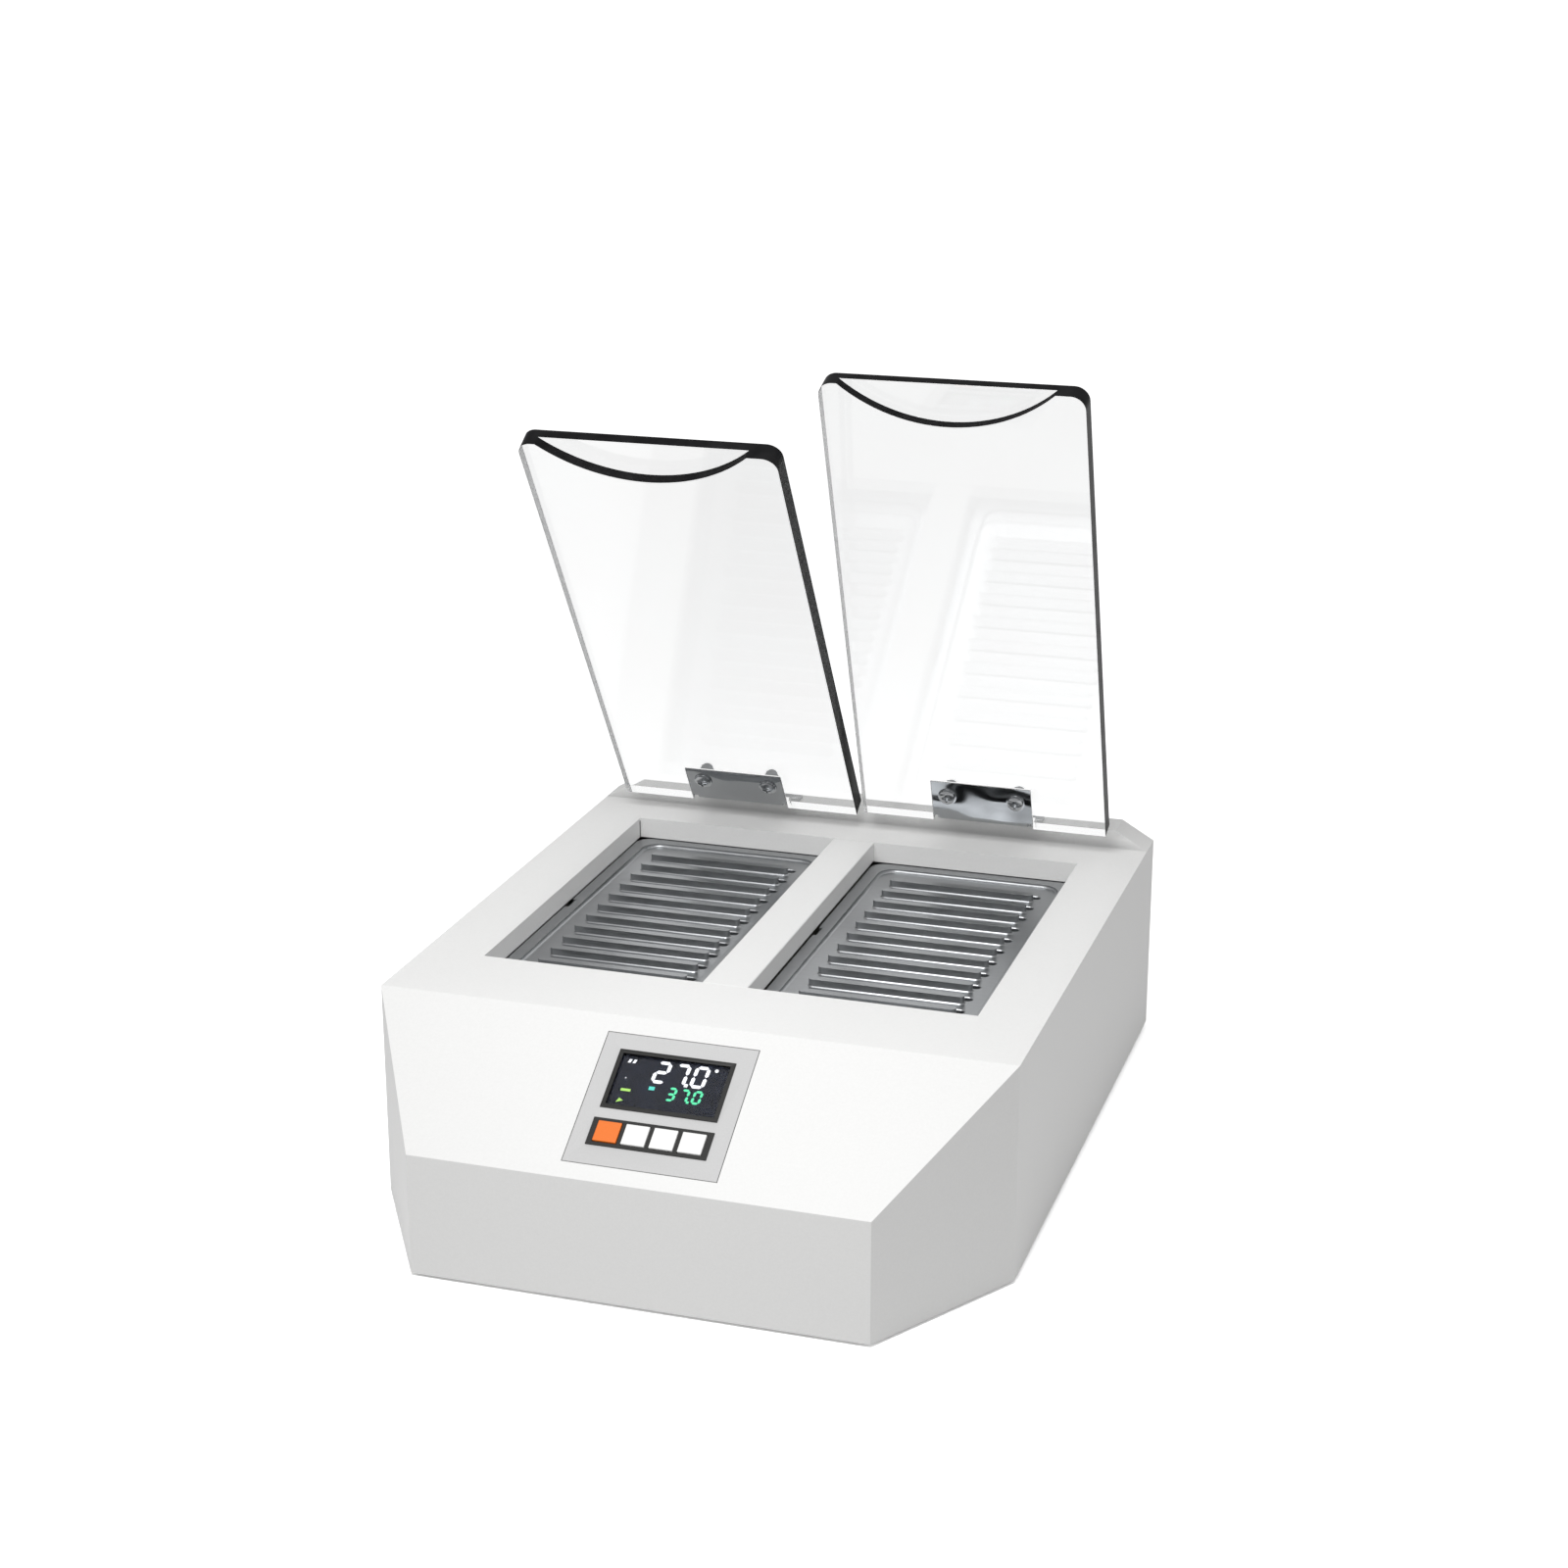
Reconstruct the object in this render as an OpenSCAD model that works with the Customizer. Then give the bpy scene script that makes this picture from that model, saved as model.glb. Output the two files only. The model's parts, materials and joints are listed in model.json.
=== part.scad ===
/* [Housing] */
// Width of the deck beside the wells
deck_side = 29.5; // [26:0.1:40]
// Depth of the deck in front of the wells
deck_front = 46.2; // [40:0.1:60]
// Depth of the deck between the wells and the ledge
deck_rear = 28.2; // [24:0.1:40]
// Height of the flat deck above the housing's lower edge
deck_h = 99.3; // [95:0.1:110]
// Angle of the sloped panel
slope_a = 31.58; // [28:0.01:35]
// Width taken off each front corner
facet_w = 43.1; // [35:0.1:50]
// Depth of the raised ledge along the rear
ledge_d = 18; // [17:0.5:22]
// Height of the raised ledge above the deck
ledge_h = 9.5; // [8:0.1:12]
// Length of the ramp at each end of the ledge
ledge_ramp = 16.3; // [12:0.1:22]
// Thickness of the folded sheet
sheet_t = 1.5; // [1.2:0.1:2]
// Width of the folded rims that carry the base plate and the rear panel
rim_fold = 12; // [10:0.5:16]
// Gap between the floor and the housing's lower edge
foot_gap = 1.5; // [1:0.1:3]
// How far the rear panel lies inside the rear edge
rear_recess = 4; // [4:0.5:6]

/* [Wells] */
// Width of the strip between the wells
divider_w = 21.4; // [20:0.1:24]
// Depth of the folded well walls below the deck
wall_h = 10.3; // [8:0.1:12]
// Open slit between two folds at a well corner
fold_gap = 1.2; // [0.4:0.1:1.4]
// Play between the strip and the well walls at its ends
strip_gap = 0.15; // [0.05:0.05:0.3]

/* [Blocks] */
// Gap between a block and the well walls
block_gap = 0.5; // [0.3:0.1:1]
// Gap between the lower edge of the well walls and a block
block_drop = 0.3; // [0.2:0.1:1]
// Corner radius of a block
block_r = 8; // [5:0.5:10]
// Width of the rim around the shallow pocket
block_rim = 6; // [4:0.5:7]
// Depth of the shallow pocket
pocket_h = 1.7; // [1:0.1:2.5]
// Corner radius of the pocket
pocket_r = 9; // [6:0.5:11]
// Radius between the pocket's wall and its floor
pocket_fillet = 1.4; // [0.6:0.1:1.6]
// Distance from the pocket's side walls to the ribs
pocket_side = 9.5; // [8:0.1:12]
// Distance from the pocket's end walls to the first and last row
pocket_end = 19.45; // [17:0.05:24]
// Rows of a rib and a card slot in a block
row_n = 11; // [9:1:11]
// Distance from one row to the next
row_pitch = 15.13; // [14.5:0.01:16]
// Length of a rib
rib_l = 72.8; // [70:0.1:76]
// Thickness of a rib
rib_t = 4.2; // [3:0.1:5]
// Height of a rib above the pocket's floor
rib_h = 3.7; // [3:0.1:5]
// Chamfer round the foot of a rib
rib_foot = 0.5; // [0.2:0.1:0.8]
// Length of a card slot
slot_l = 73; // [71:0.1:76]
// Width of a card slot
slot_w = 4.4; // [4.2:0.1:6]
// Depth of a card slot below the pocket
slot_h = 40; // [35:0.5:41]
// Metal left under a card slot
slot_floor = 6.3; // [4:0.1:10]
// Chamfer along a card slot's upper edge
slot_chamfer = 0.4; // [0.2:0.1:0.6]
// Distance from a rib to the slot behind it
slot_back = 1; // [0.9:0.1:1.6]
// How far the slots lie to the right of the ribs
slot_shift = 2.3; // [0:0.1:3]
// Length of the lifting notch in a block's side
notch_l = 10; // [8:0.5:14]
// Depth of the lifting notch
notch_w = 1.8; // [1:0.1:2.5]

/* [Heating] */
// Thickness of a heater mat
heater_t = 1.5; // [1:0.1:2]
// Thickness of the insulation under a block
insulation_t = 10; // [8:0.5:12]
// Thickness of the insulation around a block
insulation_side = 6; // [5:0.5:7]
// Height of the insulation's side walls above the block's lower face
insulation_h = 38; // [30:1:42]
// Diameter of a temperature probe
probe_d = 4; // [3:0.1:5]
// Length of a temperature probe
probe_l = 46; // [36:1:60]
// Radial play of the probe in its bore
probe_play = 0.06; // [0.03:0.01:0.1]
// Diameter of a thermal cut-out
cutout_d = 16; // [14:0.5:18]
// Height of a thermal cut-out
cutout_h = 8; // [7:0.5:10]

/* [Lids] */
// How far a lid reaches past its well on each side
lid_side = 10.1; // [8:0.1:11]
// How far a lid reaches past the front of its well
lid_front = 27.9; // [24:0.1:32]
// How far a lid lies outward of its well's middle
lid_shift = 1.35; // [1:0.05:3]
// Thickness of a lid
lid_t = 9.7; // [8:0.1:10]
// Corner radius at a lid's free edge
lid_r = 7; // [4:0.5:10]
// Gap between a closed lid and the deck
lid_rest = 3.2; // [3:0.1:4]
// Angle to which the left lid is opened as it stands
left_lid_angle = 57.4; // [10:0.1:95]
// Angle to which the right lid is opened as it stands
right_lid_angle = 70.1; // [10:0.1:95]
// Width of the half-moon thumb recess at the free edge
thumb_w = 102; // [80:1:105]
// Shift of the recess to the left, as the photo shows it on both lids
thumb_shift = 2.2; // [0:0.1:3]
// Length of the thumb recess
thumb_l = 19.6; // [15:0.1:24]
// Depth of the thumb recess
thumb_h = 4.9; // [3:0.1:5]

/* [Hinges] */
// Width of a hinge
hinge_w = 51; // [46:0.5:56]
// Thickness of the hinge metal
leaf_t = 1.5; // [1.2:0.1:1.8]
// Outer radius of the leaf's bend
bend_r = 4; // [3:0.1:4.5]
// Diameter of the hinge barrel
barrel_d = 6; // [5:0.1:6.2]
// Diameter of the hinge pin
pin_d = 3; // [2.5:0.1:3.5]
// Radial play between the pin and the barrel
pin_play = 0.05; // [0.02:0.01:0.08]
// Thickness of an ear that holds the pin
ear_t = 2.5; // [2:0.1:3]
// Play between the barrel and an ear
ear_play = 0.3; // [0.2:0.05:0.5]
// Height of the pin above the ledge
axis_up = 3.2; // [3.1:0.1:4]
// Distance of the pin in front of the ledge
axis_out = 7.2; // [6:0.1:9]
// Distance from the pin back to a lid's hinge edge
axis_back = 2.3; // [2:0.1:3]
// Distance from a lid's hinge edge to the leaf screws
leaf_screw_s = 15.6; // [12:0.1:19]
// Distance from the leaf screws to the leaf's free edge
leaf_end = 8.7; // [6:0.1:12]
// Distance from the leaf's sides to the leaf screws
leaf_screw_in = 8; // [6:0.1:12]
// Distance from the hinge's sides to the screws of its base
hinge_screw_in = 10.5; // [8:0.1:14]
// Diameter of the leaf screws
leaf_screw_d = 4; // [3:0.1:4.5]
// Diameter of the leaf screws' heads
leaf_head_d = 8; // [7:0.1:9]
// Height of the leaf screws' heads
leaf_head_h = 2.2; // [1.6:0.1:2.2]
// Thickness of the washers under the heads
washer_t = 0.5; // [0.4:0.05:0.6]
// Diameter of the washers
washer_d = 9.4; // [9:0.1:10]

/* [Control panel] */
// Distance from the slope's lower edge to the control plate
plate_s = 8.2; // [7:0.1:10]
// Distance from the control plate to the slope's upper edge
plate_top = 9.2; // [7:0.1:12]
// Distance from the control plate's lower edge to the key frame
plate_low = 9.3; // [7:0.1:12]
// Distance from the key frame to the display frame
frame_space = 5.3; // [4:0.1:8]
// Distance from the display frame to the control plate's upper edge
plate_high = 8; // [6:0.1:10]
// Distance from the key frame to the control plate's sides
plate_side = 7.3; // [6:0.1:9]
// Thickness of the control plate
plate_t = 3; // [2.6:0.1:3.4]
// Dark gap around the control plate
plate_gap = 0.4; // [0.2:0.05:0.6]
// Width of the plate's lip behind the sheet
plate_lip = 3; // [2:0.5:4]
// Play between the plate's lip and the sheet
lip_play = 0.02; // [0.01:0.01:0.1]
// Width of the display frame
display_w = 52.2; // [48:0.1:54]
// Length of the display frame up the slope
display_l = 30.2; // [27:0.1:32]
// Width of the display frame's border
display_border = 2; // [1.4:0.1:3]
// Height of the display and key frames above the plate
frame_proud = 0.4; // [0.2:0.1:0.8]
// Thickness of the display window
window_t = 1.2; // [0.8:0.1:1.6]
// Depth of the display window below its frame
window_drop = 0.5; // [0.3:0.1:0.8]
// Width of a key
key_w = 10.4; // [9:0.1:10.8]
// Length of a key
key_l = 10; // [9:0.1:10.4]
// Distance from one key to the next
key_pitch = 12.5; // [12.2:0.1:14]
// Distance from the outer keys to the key frame's ends
key_side = 2.75; // [2:0.05:4]
// Distance from a key to the key frame's long edges
key_end = 1.8; // [1.2:0.1:3]
// Height of a key above the plate
key_proud = 1.1; // [0.9:0.1:1.6]
// Gap around a key
key_gap = 0.25; // [0.2:0.05:0.4]
// Travel of a key
key_travel = 0.5; // [0.3:0.05:0.6]

/* [Boards] */
// Thickness of a circuit board
board_t = 1.6; // [1.2:0.1:2]
// Distance from the control plate's rear face to the control board
board_drop = 7.5; // [7:0.1:9]
// Height of a push switch on the board
switch_h = 3.6; // [3:0.1:4]
// How far the control board reaches past the plate on each side
board_over = 5; // [4:0.1:6]
// Width of the power board
power_w = 110; // [100:1:116]
// Depth of the power board
power_d = 62; // [58:1:66]
// Height of the power board above the base plate
power_up = 6; // [5:0.5:8]

/* [Rear] */
// Distance from the mains inlet's middle to the housing's side
inlet_in = 53; // [45:1:70]
// Height of the mains inlet above the housing's lower edge
inlet_z = 42; // [36:1:48]
// Width of the inlet's cut-out
inlet_w = 27; // [26:0.1:28]
// Height of the inlet's cut-out
inlet_h = 20; // [19:0.1:21]
// Distance from the mains inlet to the power switch
switch_space = 36; // [32:1:44]
// Angle of the power switch's rocker as it stands
rocker_tilt = 8; // [4:0.5:10]

/* [Hidden] */
$fn = 64;
eps = 0.01;

pocket_w = rib_l + 2 * pocket_side;
pocket_d = (row_n - 1) * row_pitch + 2 * pocket_end;
pocket_z = slot_h + slot_floor;
block_w = pocket_w + 2 * block_rim;
block_d = pocket_d + 2 * block_rim;
block_h = pocket_z + pocket_h;
rib_front = -2.8;
slot_y = rib_front + rib_t + slot_back + slot_w / 2;

well_w = block_w + 2 * block_gap;
well_d = block_d + 2 * block_gap;
opening_w = 2 * well_w + divider_w;
well_x = (divider_w + well_w) / 2;
block_top = deck_h - wall_h - block_drop;
block_bottom = block_top - block_h;

strip_w = 3 * key_pitch + key_w + 2 * key_side;
strip_l = key_l + 2 * key_end;
strip_s = plate_s + plate_low;
display_s = strip_s + strip_l + frame_space;
plate_w = strip_w + 2 * plate_side;
plate_l = display_s + display_l + plate_high - plate_s;
slope_l = plate_s + plate_l + plate_top;
slope_d = slope_l * cos(slope_a);
front_h = deck_h - slope_l * sin(slope_a);

well_front = slope_d + deck_front;
well_mid_y = well_front + well_d / 2;
body_w = opening_w + 2 * deck_side;
body_d = well_front + well_d + deck_rear + ledge_d;
front_y = -body_d / 2;

base_top = 2 * sheet_t;
tray_top = block_bottom - heater_t - insulation_t;
tray_bottom = tray_top - sheet_t;
insulation_play = 0.2;

ledge_top = deck_h + ledge_h;
axis_y = body_d - ledge_d - axis_out;
axis_z = ledge_top + axis_up;
axis_in = axis_z - deck_h - lid_rest;
lid_x = well_x + lid_shift;
lid_w = well_w + 2 * lid_side;
lid_l = axis_y - axis_back - well_front + lid_front;
leaf_slack = 0.25;
leaf_l = leaf_screw_s + leaf_end;
leaf_screw_pitch = hinge_w - 2 * leaf_screw_in;
nut_d = 7;
nut_h = 3.2;
lid_notch = bend_r - leaf_t + axis_back / 4;
thumb_r = (thumb_w * thumb_w / 4 + thumb_l * thumb_l) / (2 * thumb_l);

plate_mid_s = plate_s + plate_l / 2;
key_mid_s = strip_s + strip_l / 2;
display_mid_s = display_s + display_l / 2;
board_face = -plate_t - board_drop;
board_w = plate_w + 2 * board_over;
board_l = plate_l;
board_hole_in = 4.4;
board_hole_x = board_w / 2 - board_hole_in;
board_hole_s = board_l / 2 - board_hole_in;
key_flange = 1;
flange_out = 0.8;
key_back = -plate_t - 0.05;
stem_d = 4;
stem_play = 0.1;
panel_y = body_d - rear_recess - sheet_t;
switch_w = 19.2;
switch_l = 12.8;
inlet_x = body_w / 2 - inlet_in;
switch_x = inlet_x - switch_space;
rocker_drop = 1.5;
rocker_y = body_d - rear_recess - rocker_drop;
trunnion_d = 2;
fit_gap = 0.1;
barrel_l = hinge_w - 2 * ear_t - 2 * ear_play;
inlet_face_w = inlet_w + 4;
inlet_face_h = inlet_h + 4.5;

small_screw_d = 3;
small_head_d = 6;
small_head_h = 2;
small_screw_l = 5.5;
thread_play = 0.02;
block_screw_d = 4;
block_head_d = 8;
block_screw_in = 7.5;
block_screw_end = 22;
block_screw_x = block_w / 2 - block_screw_in;
block_screw_y = block_d / 2 - block_screw_end;
block_thread = 8;
probe_z = slot_floor / 2;
probe_out = 6;
cutout_z = cutout_d / 2 + 3;
tray_edge = 1;
post_d = 8;
post_in = 8;
foot_d = 20;
foot_in = 34;
foot_front = 16;
foot_rear = 44;
foot_seat = 1;
rim_screw_in = (rim_fold + sheet_t) / 2;
base_screw_front = 14;
base_screw_rear = 40;
rear_screw_end = 26;
hinge_screw_pitch = hinge_w - 2 * hinge_screw_in;
hinge_screw_y = body_d - ledge_d / 2 - 1;
sheet_play = 0.3;
board_screw_d = 2.5;
boss_d = 6;
power_x = -40;
power_y = 46;
power_z = base_top + power_up + board_t;
power_post_in = 5;
power_nut_d = 5.5;
power_nut_h = 2.2;
core_w = 34;
core_d = 14;
core_h = 15;
core_leg = 8;
coil_w = 18;
coil_d = 22;
coil_h = 19;
coil_foot = 3;
coil_x = -24;
capacitor_d = 16;
capacitor_h = 24;
capacitor_x = 14;
capacitor_space = 26;
sink_t = 2;
sink_l = 36;
sink_h = 22;
sink_in = 15;
sink_x = power_w / 2 - sink_in;
fin_n = 7;
fin_l = 7;
flange_t = 2.2;
inlet_deep = 22;
socket_w = 23.6;
socket_h = 13;
prong_w = 2;
prong_h = 4;
prong_l = 26;
prong_pitch = 7;
switch_deep = 16;
switch_edge = 1.3;
switch_flange = 1.6;

// Outline with round corners, centred
module rounded(w, d, r) {
    square([w - 2 * r, d], center = true);
    square([w, d - 2 * r], center = true);
    for (x = [-1, 1], y = [-1, 1])
        translate([x * (w / 2 - r), y * (d / 2 - r)])
            circle(r);
}

// Moves children from housing coordinates, with y from the front face, to the part's frame
module in_housing() {
    translate([0, front_y, foot_gap])
        children();
}

// Lays children on the sloped panel: x across, y up the slope, z outward
module on_slope() {
    in_housing()
        translate([0, 0, front_h])
            rotate([slope_a, 0, 0])
                children();
}

// Turns a closed lid's children about its hinge axis
module opened(angle) {
    in_housing()
        translate([0, axis_y, axis_z])
            rotate([-angle, 0, 0])
                children();
}

// Side outline of the housing, moved inward by t
function side_outline(t, low, back) =
    let (m = (deck_h - front_h) / slope_d, k = sqrt(1 + m * m))
    [[t, low], [t, front_h + m * t - t * k], [(deck_h - t - front_h + t * k) / m, deck_h - t],
     [back, deck_h - t], [back, low]];

// Plan outline of the housing, moved inward by t
function plan_outline(t, back) =
    let (m = facet_w / slope_d, k = sqrt(1 + m * m), near = body_w / 2 - facet_w + m * t - t * k,
         turn = (facet_w - t + t * k) / m, side = body_w / 2 - t)
    [[-near, t], [near, t], [side, turn], [side, back], [-side, back], [-side, turn]];

// Rear outline of the housing with its ledge, moved inward by t
function rear_outline(t, low) =
    let (m = ledge_h / ledge_ramp, k = sqrt(1 + m * m), side = body_w / 2 - t,
         foot = deck_h + m * t - t * k, top = body_w / 2 - (ledge_h - t + t * k) / m)
    [[-side, low], [side, low], [side, foot], [top, ledge_top - t], [-top, ledge_top - t], [-side, foot]];

// Extrudes a side outline across the width
module across(points) {
    translate([-body_w, 0, 0])
        rotate([90, 0, 90])
            linear_extrude(2 * body_w)
                polygon(points);
}

// Extrudes a rear outline from y0 to y1
module along(points, y0, y1) {
    translate([0, y1, 0])
        rotate([90, 0, 0])
            linear_extrude(y1 - y0)
                polygon(points);
}

module housing_skin() {
    difference() {
        union() {
            intersection() {
                across(side_outline(0, 0, body_d));
                linear_extrude(ledge_top)
                    polygon(plan_outline(0, body_d));
            }
            along(rear_outline(0, 0), body_d - ledge_d, body_d);
        }
        intersection() {
            across(side_outline(sheet_t, -1, body_d + 1));
            translate([0, 0, -1])
                linear_extrude(ledge_top)
                    polygon(plan_outline(sheet_t, body_d + 1));
        }
        along(rear_outline(sheet_t, deck_h / 2), body_d - ledge_d + sheet_t, body_d + 1);
    }
}

// Folded rim along the lower edge
module lower_rim() {
    difference() {
        linear_extrude(sheet_t)
            polygon(plan_outline(sheet_t / 2, panel_y - sheet_t));
        translate([0, 0, -1])
            linear_extrude(sheet_t + 2)
                polygon(plan_outline(rim_fold, body_d + 1));
    }
}

// Folded rim along the rear edge
module rear_rim() {
    difference() {
        along(rear_outline(sheet_t / 2, 0), panel_y - sheet_t, panel_y);
        along(rear_outline(rim_fold, rim_fold), panel_y - sheet_t - 1, panel_y + 1);
    }
}

// Walls folded down from the deck around the wells
module well_walls() {
    z0 = deck_h - wall_h;
    fold = wall_h - sheet_t / 2;
    for (side = [-1, 1]) {
        translate([side > 0 ? opening_w / 2 : -opening_w / 2 - sheet_t, well_front + fold_gap, z0])
            cube([sheet_t, well_d - 2 * fold_gap, fold]);
        translate([-opening_w / 2, side > 0 ? well_front + well_d : well_front - sheet_t, z0])
            cube([opening_w, sheet_t, fold]);
    }
}

// Centres of the screws through the lower rim
function base_screw_places() =
    [for (x = [-1, 1], y = [slope_d + base_screw_front, body_d / 2 + base_screw_front,
            body_d - base_screw_rear])
        [x * (body_w / 2 - rim_screw_in), y]];

// Centres of the screws through the rear rim, as x and z
function rear_screw_places() =
    [for (x = [-1, 1], z = [rear_screw_end, deck_h - rear_screw_end])
        [x * (body_w / 2 - rim_screw_in), z]];

// Centres of the screws of a hinge base, from its middle and the housing's front
function hinge_screw_places() = [for (x = [-1, 1]) [x * hinge_screw_pitch / 2, hinge_screw_y]];

module housing() {
    color("white")
        in_housing()
            difference() {
                union() {
                    difference() {
                        housing_skin();
                        translate([-opening_w / 2, well_front, deck_h - 2 * sheet_t])
                            cube([opening_w, well_d, 4 * sheet_t]);
                        translate([0, 0, front_h])
                            rotate([slope_a, 0, 0])
                                translate([-plate_w / 2 - plate_gap, plate_s - plate_gap, -2 * sheet_t])
                                    cube([plate_w + 2 * plate_gap, plate_l + 2 * plate_gap, 4 * sheet_t]);
                    }
                    lower_rim();
                    rear_rim();
                    well_walls();
                }
                for (p = base_screw_places())
                    translate([p[0], p[1], 0]) {
                        cylinder(h = sheet_t, d1 = small_screw_d + 2 * sheet_t, d2 = small_screw_d);
                        translate([0, 0, -sheet_t])
                            cylinder(h = 3 * sheet_t, d = small_screw_d);
                    }
                for (p = rear_screw_places())
                    translate([p[0], panel_y + 1, p[1]])
                        rotate([90, 0, 0])
                            cylinder(h = 2 * sheet_t, d = small_screw_d);
                for (side = [-1, 1], p = hinge_screw_places())
                    translate([side * lid_x + p[0], p[1], ledge_top - 2 * sheet_t])
                        cylinder(h = 3 * sheet_t, d = small_screw_d);
            }
}

// Strip between the wells, folded down on all four sides
module well_divider() {
    color("white")
        in_housing()
            translate([0, well_mid_y, deck_h - wall_h])
                difference() {
                    translate([-divider_w / 2, -well_d / 2 + strip_gap, 0])
                        cube([divider_w, well_d - 2 * strip_gap, wall_h]);
                    translate([-divider_w / 2 + sheet_t, -well_d / 2 + strip_gap + sheet_t, -sheet_t])
                        cube([divider_w - 2 * sheet_t, well_d - 2 * strip_gap - 2 * sheet_t, wall_h]);
                }
}

// Places of the feet, as x and y
function foot_places() =
    [for (x = [-1, 1], y = [slope_d + foot_front, body_d - foot_rear]) [x * (body_w / 2 - foot_in), y]];

// Places of the posts under the tray
function post_places() = [for (x = [-1, 0, 1], y = [-1, 1])
    [x * (opening_w / 2 + insulation_side - post_in), well_mid_y + y * (well_d / 2 - post_in)]];

// Places of the posts under the power board
function power_post_places() = [for (x = [-1, 1], y = [-1, 1])
    [power_x + x * (power_w / 2 - power_post_in), power_y + y * (power_d / 2 - power_post_in)]];

module base_plate() {
    color("gainsboro")
        in_housing()
            difference() {
                translate([0, 0, sheet_t])
                    linear_extrude(sheet_t)
                        polygon(plan_outline(sheet_t + sheet_play, panel_y - sheet_t - sheet_play));
                for (p = base_screw_places())
                    translate([p[0], p[1], 0])
                        cylinder(h = 3 * sheet_t, d = small_screw_d);
                for (p = concat(foot_places(), post_places(), power_post_places()))
                    translate([p[0], p[1], 0])
                        cylinder(h = 3 * sheet_t, d = small_screw_d);
            }
}

module base_screws() {
    color("silver")
        in_housing()
            for (p = base_screw_places())
                translate([p[0], p[1], 0]) {
                    cylinder(h = sheet_t, d1 = small_screw_d + 2 * sheet_t, d2 = small_screw_d);
                    cylinder(h = 3.5 * sheet_t, d = small_screw_d);
                }
}

module feet() {
    foot_h = foot_gap + sheet_t;
    recess_d = small_head_d + 2;
    recess_h = foot_h - foot_seat;
    color("dimgray")
        in_housing()
            for (p = foot_places())
                translate([p[0], p[1], -foot_gap])
                    difference() {
                        cylinder(h = foot_h, d1 = foot_d, d2 = foot_d + 2);
                        translate([0, 0, -1])
                            cylinder(h = recess_h + 1, d = recess_d);
                        cylinder(h = foot_h + 1, d = small_screw_d);
                    }
}

module foot_screws() {
    head_h = 1.4;
    color("silver")
        in_housing()
            for (p = foot_places())
                translate([p[0], p[1], sheet_t - foot_seat]) {
                    translate([0, 0, -head_h])
                        cylinder(h = head_h, d = small_head_d);
                    cylinder(h = sheet_t + 3, d = small_screw_d);
                }
}

module rear_panel() {
    color("white")
        in_housing()
            difference() {
                along(rear_outline(sheet_t + sheet_play, sheet_t), panel_y, panel_y + sheet_t);
                for (p = rear_screw_places())
                    translate([p[0], panel_y + 2 * sheet_t, p[1]])
                        rotate([90, 0, 0])
                            cylinder(h = 3 * sheet_t, d = small_screw_d);
                translate([inlet_x - inlet_w / 2, panel_y - 1, inlet_z - inlet_h / 2])
                    cube([inlet_w, sheet_t + 2, inlet_h]);
                translate([switch_x - switch_w / 2, panel_y - 1, inlet_z - switch_l / 2])
                    cube([switch_w, sheet_t + 2, switch_l]);
            }
}

// Pan head screw along -z, with its head above z = 0
module pan_screw(d, length, head_d, head_h) {
    edge = head_h / 3;
    translate([0, 0, -length])
        cylinder(h = length + eps, d = d);
    cylinder(h = head_h - edge, d = head_d);
    translate([0, 0, head_h - edge])
        cylinder(h = edge, d1 = head_d, d2 = head_d - 3 * edge);
}

module rear_panel_screws() {
    color("silver")
        in_housing()
            for (p = rear_screw_places())
                translate([p[0], panel_y + sheet_t, p[1]])
                    rotate([-90, 0, 0])
                        pan_screw(small_screw_d, sheet_t + small_screw_l, small_head_d, small_head_h);
}

// Long bar with round ends, standing on z = 0
module long_bar(l, w, h) {
    linear_extrude(h) {
        square([l - w, w], center = true);
        for (x = [-1, 1])
            translate([x * (l - w) / 2, 0])
                circle(d = w);
    }
}

// Sloping edge round a long bar: e wider at z = 0 and as wide as the bar at z = up
module long_edge(l, w, e, up) {
    half = (l - w) / 2;
    for (x = [-half, half])
        translate([x, 0, min(up, 0)])
            cylinder(h = e, r1 = up > 0 ? w / 2 + e : w / 2, r2 = up > 0 ? w / 2 : w / 2 + e);
    translate([-half, 0, 0])
        rotate([90, 0, 90])
            linear_extrude(2 * half)
                polygon([[-w / 2 - e, 0], [w / 2 + e, 0], [w / 2, up], [-w / 2, up]]);
}

// Card slot with its upper edge chamfered at z = 0
module slot_cut() {
    translate([0, 0, -slot_h])
        long_bar(slot_l, slot_w, slot_h + rib_h);
    translate([0, 0, eps])
        long_edge(slot_l, slot_w, slot_chamfer + eps, -slot_chamfer - eps);
}

// Rib that a card leans on
module rib() {
    translate([0, 0, -eps])
        long_bar(rib_l, rib_t, rib_h + eps);
    long_edge(rib_l, rib_t, rib_foot, rib_foot);
}

// Puts children at the middle of each row of a block
module at_rows() {
    for (i = [0:row_n - 1])
        translate([0, (i - (row_n - 1) / 2) * row_pitch, 0])
            children();
}

// Quarter round outline for the foot of the pocket's wall
function pocket_corner() = concat([[0, 0]],
    [for (a = [0:15:90]) [pocket_r - pocket_fillet + pocket_fillet * sin(a), pocket_fillet * (1 - cos(a))]],
    [[pocket_r, pocket_h + 1], [0, pocket_h + 1]]);

module pocket_cut() {
    hull()
        for (x = [-1, 1], y = [-1, 1])
            translate([x * (pocket_w / 2 - pocket_r), y * (pocket_d / 2 - pocket_r), 0])
                rotate_extrude($fn = 32)
                    polygon(pocket_corner());
}

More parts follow.
